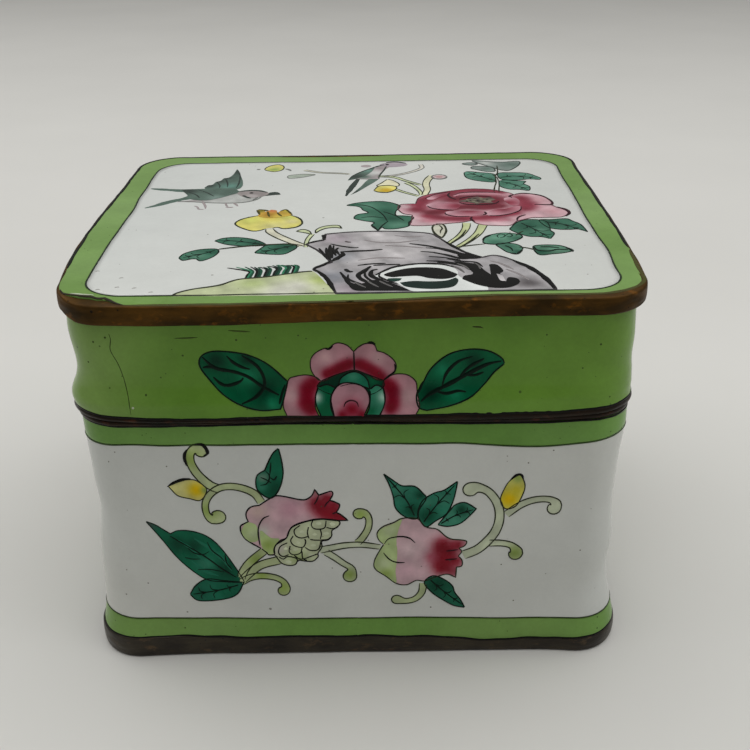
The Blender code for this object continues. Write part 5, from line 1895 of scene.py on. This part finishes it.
def right_fruit(art):
    """The right pomegranate with its three leaves above and one below."""
    art.vine([(12.7, 16), (12.4, 13.8), (11.2, 12.3), (9.4, 11.8), (7.6, 12.2)], 1.4, VINE, 1.0)
    light = (44, 122, 98)
    low = [
        (20.8, 10, 1), (18.7, 10.5), (16.8, 11.7), (14.5, 13.6), (12.9, 16.1), (14.5, 17.7),
        (16.8, 16.7), (18.3, 15.2), (18.8, 13.6), (19.8, 12.1),
    ]
    art.leaf(
        low, [(14, 16.8), (16.8, 13.8), (20.4, 10.6)], (32, 100, 76),
        [(15.4, 15.6, 1.8, WALL_LEAF_DARK)],
    )
    first = [
        (5.3, 40.6, 1), (7.5, 38.8), (8.7, 38), (11, 37.8), (12.5, 36.3), (13.1, 35.2), (11.8, 32.8),
        (11.4, 30.9), (9.3, 31.3), (7.5, 33.2), (7, 35.9), (6.2, 38.6),
    ]
    tones = [
        (10.6, 32.8, 1.8, WALL_LEAF_DARK), (8, 37, 1.4, (60, 130, 106)), (12, 36, 1, WALL_LEAF_DARK),
    ]
    art.leaf(first, [(11, 31.4), (9.4, 35), (5.8, 40)], light, tones)
    third = [
        (15.3, 29.4, 1), (17.2, 29), (19.5, 29.6), (21.2, 31.2), (22.4, 32.7, 1), (20.3, 34.1),
        (18.5, 33.7), (17.6, 32.6),
    ]
    art.leaf(
        third, [(15.8, 29.6), (18.6, 31.4), (22, 32.6)], (64, 134, 110),
        [(19.6, 32.6, 1.1, WALL_LEAF_DARK)],
    )
    second = [
        (18.8, 38.7, 1), (18.5, 36.5), (17.9, 34), (16.8, 31.7), (14.8, 30.2), (13.1, 29), (11.8, 30.9),
        (11.6, 32.5), (12.5, 34.8), (14.5, 36.3), (16.4, 36.9),
    ]
    tones = [
        (13.4, 31.4, 1.8, WALL_LEAF_DARK), (16.4, 35, 1.3, (58, 128, 104)),
        (13.2, 34.6, 1, (58, 128, 104)),
    ]
    art.leaf(second, [(12.6, 30), (15.2, 34), (18.4, 38)], light, tones)
    body = [
        (5.2, 25.3, 1), (4.3, 26.3), (4, 27.8), (5, 29.2), (7.2, 30.2), (8.7, 31), (11.4, 30.9),
        (13.1, 29), (15.2, 28.4), (16.8, 26.8), (18, 26.1), (19.6, 25.9), (20.8, 25.5), (20.4, 24.5),
        (19.4, 24, 1), (19.9, 23.2), (19.3, 22.2, 1), (20, 21.2), (20, 19.9), (19, 19.6, 1),
        (18.9, 17.2, 1), (17.2, 18), (14.8, 17.3), (12.9, 16.5), (11.4, 16.7), (9.5, 15.7), (7.5, 16.1),
        (5.6, 17.8), (3.7, 19.4), (3.3, 20.9), (3.9, 22.8),
    ]
    tones = [(10, 24, 2, (212, 186, 190)), (9, 19, 2, (204, 168, 178))]
    tones += band([(16.2, 19.4), (16.4, 22), (16.2, 25)], 1.6, CROWN_RED)
    tones += [
        (19, 24.8, 1.4, CROWN_RED), (18.8, 21, 1.4, CROWN_RED), (17.4, 23, 1.4, CROWN_RED),
        (18.2, 18.6, 1, CROWN_RED), (14.2, 22, 1.2, (176, 84, 102)),
    ]
    art.fill(body, FRUIT, tones)
    upper = [
        (5.3, 25.3), (4.4, 26.4), (4.1, 27.8), (5, 29), (7.2, 30), (8.6, 30.8), (8, 28.6), (7.6, 26.4),
        (7.6, 25.2), (7, 24.6),
    ]
    art.fill(upper, FRUIT_GREEN, [(6.4, 28.4, 1.4, FRUIT_PALE)], 1)
    lower = [
        (5.4, 25.2), (7.5, 25.2), (7.7, 22), (7.4, 19), (7.5, 16.3), (5.7, 17.9), (3.8, 19.5),
        (3.4, 20.9), (4, 22.7),
    ]
    art.fill(lower, FRUIT_GREEN, [(5.6, 18.6, 1.2, VINE_DEEP), (5.4, 21, 1.4, FRUIT_PALE)], 1)
    art.trace(closed(smooth_outline(body)), 0.26, OLIVE_INK, 1)
    art.stroke([(5.2, 25.3), (6.2, 26.6), (8.3, 27), (10, 26.6), (11.2, 25.4)], 0.3, INK, 2)
    art.stroke([(5.0, 23.6), (6.2, 21.9), (7.6, 21.1), (9.3, 21)], 0.3, INK, 2)
    art.stroke([(16.8, 23.4), (19.3, 23.7)], 0.3, PLUM, 2)
    art.stroke([(16.6, 21.4), (19.2, 21.6)], 0.3, PLUM, 2)


def right_vines(art):
    """The big scroll, the branches and the yellow bud at the right end."""
    pale = VINE_PALE
    lower = [(24.8, 25), (27.4, 24.9), (29.3, 24.3), (30.2, 23), (30.1, 22.4)]
    art.vine(lower, 1.4, pale, 1.3, [(30, 22.6, 1.8, VINE_DEEP)])
    scroll = [
        (20.2, 22.4), (22.8, 23.6), (24.8, 25.6), (26.2, 27.8), (26.8, 30.6), (26.3, 33.6), (24.6, 36.2),
        (22.6, 37.2), (21.2, 36.9),
    ]
    art.vine(scroll, 1.9, pale, 1.4)
    upper = [(28, 31.2), (30.6, 33.2), (33.2, 34.2), (35.8, 34.2), (37.1, 33.3), (36.9, 32.2)]
    art.vine(upper, 1.5, pale, 1.3)
    bud = [
        (26.8, 34.4), (27.4, 36.7), (28.3, 38.4), (29.7, 39.5), (30.4, 39.5), (31.2, 37.5), (30.9, 35.5),
        (29.7, 33), (27.8, 32.5),
    ]
    gold = [
        (28.4, 34.6, 1.7, (224, 186, 0)), (29.6, 36.4, 1.2, (214, 200, 60)), (29.8, 39, 0.9, VINE_DEEP),
    ]
    art.shape(bud, BUD, gold, 0, 0.25, OLIVE_INK)
    art.stroke([(28.4, 38.6), (29.6, 39.7), (30.5, 39.6), (31, 38.2)], 0.5, INK, 2, 0.2, 0.2)


def base_marks(art):
    """Dirt specks on the front."""
    for u, v in (
        (-44.8, 43.2), (-34, 42.4), (-40, 16.7), (30.2, 11.4), (27.5, 20), (42.4, 22.8), (31.6, 42.2),
    ):
        art.dot(u, v, 0.14, (96, 92, 82))
    art.dot(36, 44.8, 0.14, (96, 92, 82))
    art.dot(14.2, 10.2, 0.16, (96, 92, 82))


def wall_line(face, height, width, colour, name, body):
    """A painted line on the green enamel all the way round a wall. height(s) is its height."""
    art = Painting(on_wall(face, 0.0))
    s = np.append(ring_stations(), PERIMETER)
    art.trace(np.column_stack([s, height(s)]), width, colour, 1)
    art.finish(name, body)


def add_painting():
    """All the painting, one object for each motif and for each side of the box."""
    motifs = {
        "flying_bird": flying_bird,
        "perched_bird_and_buds": perched_bird,
        "back_leaves": back_leaves,
        "yellow_pomegranate": yellow_pomegranate,
        "front_leaves": front_leaves,
        "mound_and_grass": mound_and_grass,
        "rock": rock,
        "peony": peony,
        "peony_leaves_and_stems": peony_leaves,
        "top_dirt_marks": top_marks,
    }
    for name, draw in motifs.items():
        art = Painting(on_top)
        draw(art)
        art.finish("lid_" + name, "lid")
    lines = Painting(on_top)
    border_lines(lines)
    lines.finish("lid_border_lines", "lid")
    for name, middle, size in (
        ("front", FRONT, 1.0), ("right", RIGHT, 0.95), ("back", BACK, 1.0), ("left", LEFT, 0.95),
    ):
        art = Painting(on_wall(lid_face, middle), (0, 53 * (1 - size)), name in ("back", "left"), size)
        lid_flower(art)
        art.finish("lid_flower_" + name, "lid")
    marks = Painting(on_wall(lid_face, FRONT))
    lid_marks(marks)
    marks.finish("lid_front_marks", "lid")
    whole = (left_leaves, left_fruit, middle_vines, right_fruit, right_vines)
    for name, middle, parts, shift, flip in (
        ("front", FRONT, whole, (0, 0), False),
        ("right", RIGHT, (right_fruit, right_vines), (-19, 1), False),
        ("back", BACK, whole, (0, 0), True),
        ("left", LEFT, (right_fruit, right_vines), (19, 1), True),
    ):
        art = Painting(on_wall(base_face, middle), shift, flip)
        for draw in parts:
            draw(art)
        art.finish("base_spray_" + name, "base")
    marks = Painting(on_wall(base_face, FRONT))
    base_marks(marks)
    marks.finish("base_front_marks", "base")
    black, green_black = (22, 22, 18), (52, 66, 36)
    top_line = mouth_line("base_upper_green_enamel", -0.1, 0.07, 24)
    wall_line(base_face, top_line, 0.4, black, "base_mouth_line", "base")
    wall_line(base_face, mouth_coat_line(), 0.2, (62, 84, 42), "base_upper_border_line", "base")
    wall_line(base_face, foot_coat_line(), 0.22, green_black, "base_lower_border_line", "base")
    wall_line(base_face, foot_line(0.5), 0.45, black, "base_foot_line", "base")
    wall_line(lid_face, lid_coat_line(0.35), 0.45, black, "lid_mouth_line", "lid")


# ---------------------------------------------------------------- floor, light and camera

# The camera's place, lens and sensor in millimetres, its angles in degrees
CAMERA_PLACE = (4.0, -210.2, 141.8)
CAMERA_PITCH = 26.32
CAMERA_ROLL = -0.78
LENS = 50.784
SENSOR = 36.0
FLOOR_REACH = 3


def add_stage():
    """The plain pale floor, a few metres wide."""
    mesh = bpy.data.meshes.new("floor")
    corners = [(FLOOR_REACH * x, FLOOR_REACH * y, 0) for x, y in ((-1, -1), (1, -1), (1, 1), (-1, 1))]
    mesh.from_pydata(corners, [], [(0, 1, 2, 3)])
    floor = bpy.data.objects.new("floor", mesh)
    bpy.context.scene.collection.objects.link(floor)
    nodes = Nodes("floor_paper")
    tone = nodes.span(nodes.noise(9, 3), 0.3, 0.7)
    nodes.put(nodes.shader.inputs["Base Color"], nodes.mix(tone, (212, 211, 206), (216, 215, 210)))
    nodes.shader.inputs["Roughness"].default_value = 0.6
    mesh.materials.append(nodes.material)


def add_light(name, place, target, size, power):
    """A rectangular light, in metres and watts, turned towards its target."""
    light = bpy.data.lights.new(name, "AREA")
    light.shape = "RECTANGLE"
    light.size, light.size_y = size
    light.energy = power
    lamp = bpy.data.objects.new(name, light)
    lamp.location = place
    lamp.rotation_euler = (Vector(target) - Vector(place)).to_track_quat("-Z", "Y").to_euler()
    bpy.context.scene.collection.objects.link(lamp)


def add_camera():
    """The camera in front of the box and above it, looking down."""
    lens = bpy.data.cameras.new("camera")
    lens.sensor_width = SENSOR
    lens.lens = LENS
    lens.clip_start = 0.01
    camera = bpy.data.objects.new("camera", lens)
    camera.location = Vector(CAMERA_PLACE) * MM
    tilt = Matrix.Rotation(math.radians(90 - CAMERA_PITCH), 3, "X")
    roll = Matrix.Rotation(math.radians(CAMERA_ROLL), 3, "Z")
    camera.rotation_euler = (tilt @ roll).to_euler()
    bpy.context.scene.collection.objects.link(camera)
    bpy.context.scene.camera = camera


def add_world():
    """The room's soft light, brighter towards the ceiling."""
    world = bpy.data.worlds.new("room")
    world.use_nodes = True
    background = world.node_tree.nodes["Background"]
    background.inputs["Color"].default_value = (1.0, 0.99, 0.97, 1)
    direction = world.node_tree.nodes.new("ShaderNodeTexCoord")
    parts = world.node_tree.nodes.new("ShaderNodeSeparateXYZ")
    glow = world.node_tree.nodes.new("ShaderNodeMapRange")
    for socket, value in (("From Min", 0.0), ("From Max", 0.9), ("To Min", 0.12), ("To Max", 0.36)):
        glow.inputs[socket].default_value = value
    world.node_tree.links.new(direction.outputs["Generated"], parts.inputs["Vector"])
    world.node_tree.links.new(parts.outputs["Z"], glow.inputs["Value"])
    world.node_tree.links.new(glow.outputs["Result"], background.inputs["Strength"])
    bpy.context.scene.world = world


add_base()
add_lid()
add_painting()
add_stage()
add_light("ceiling", (0.03, 0.13, 0.85), (0.01, 0.05, 0), (2.6, 1.0), 12.0)
add_camera()
add_world()
bpy.context.scene.view_settings.view_transform = "Standard"
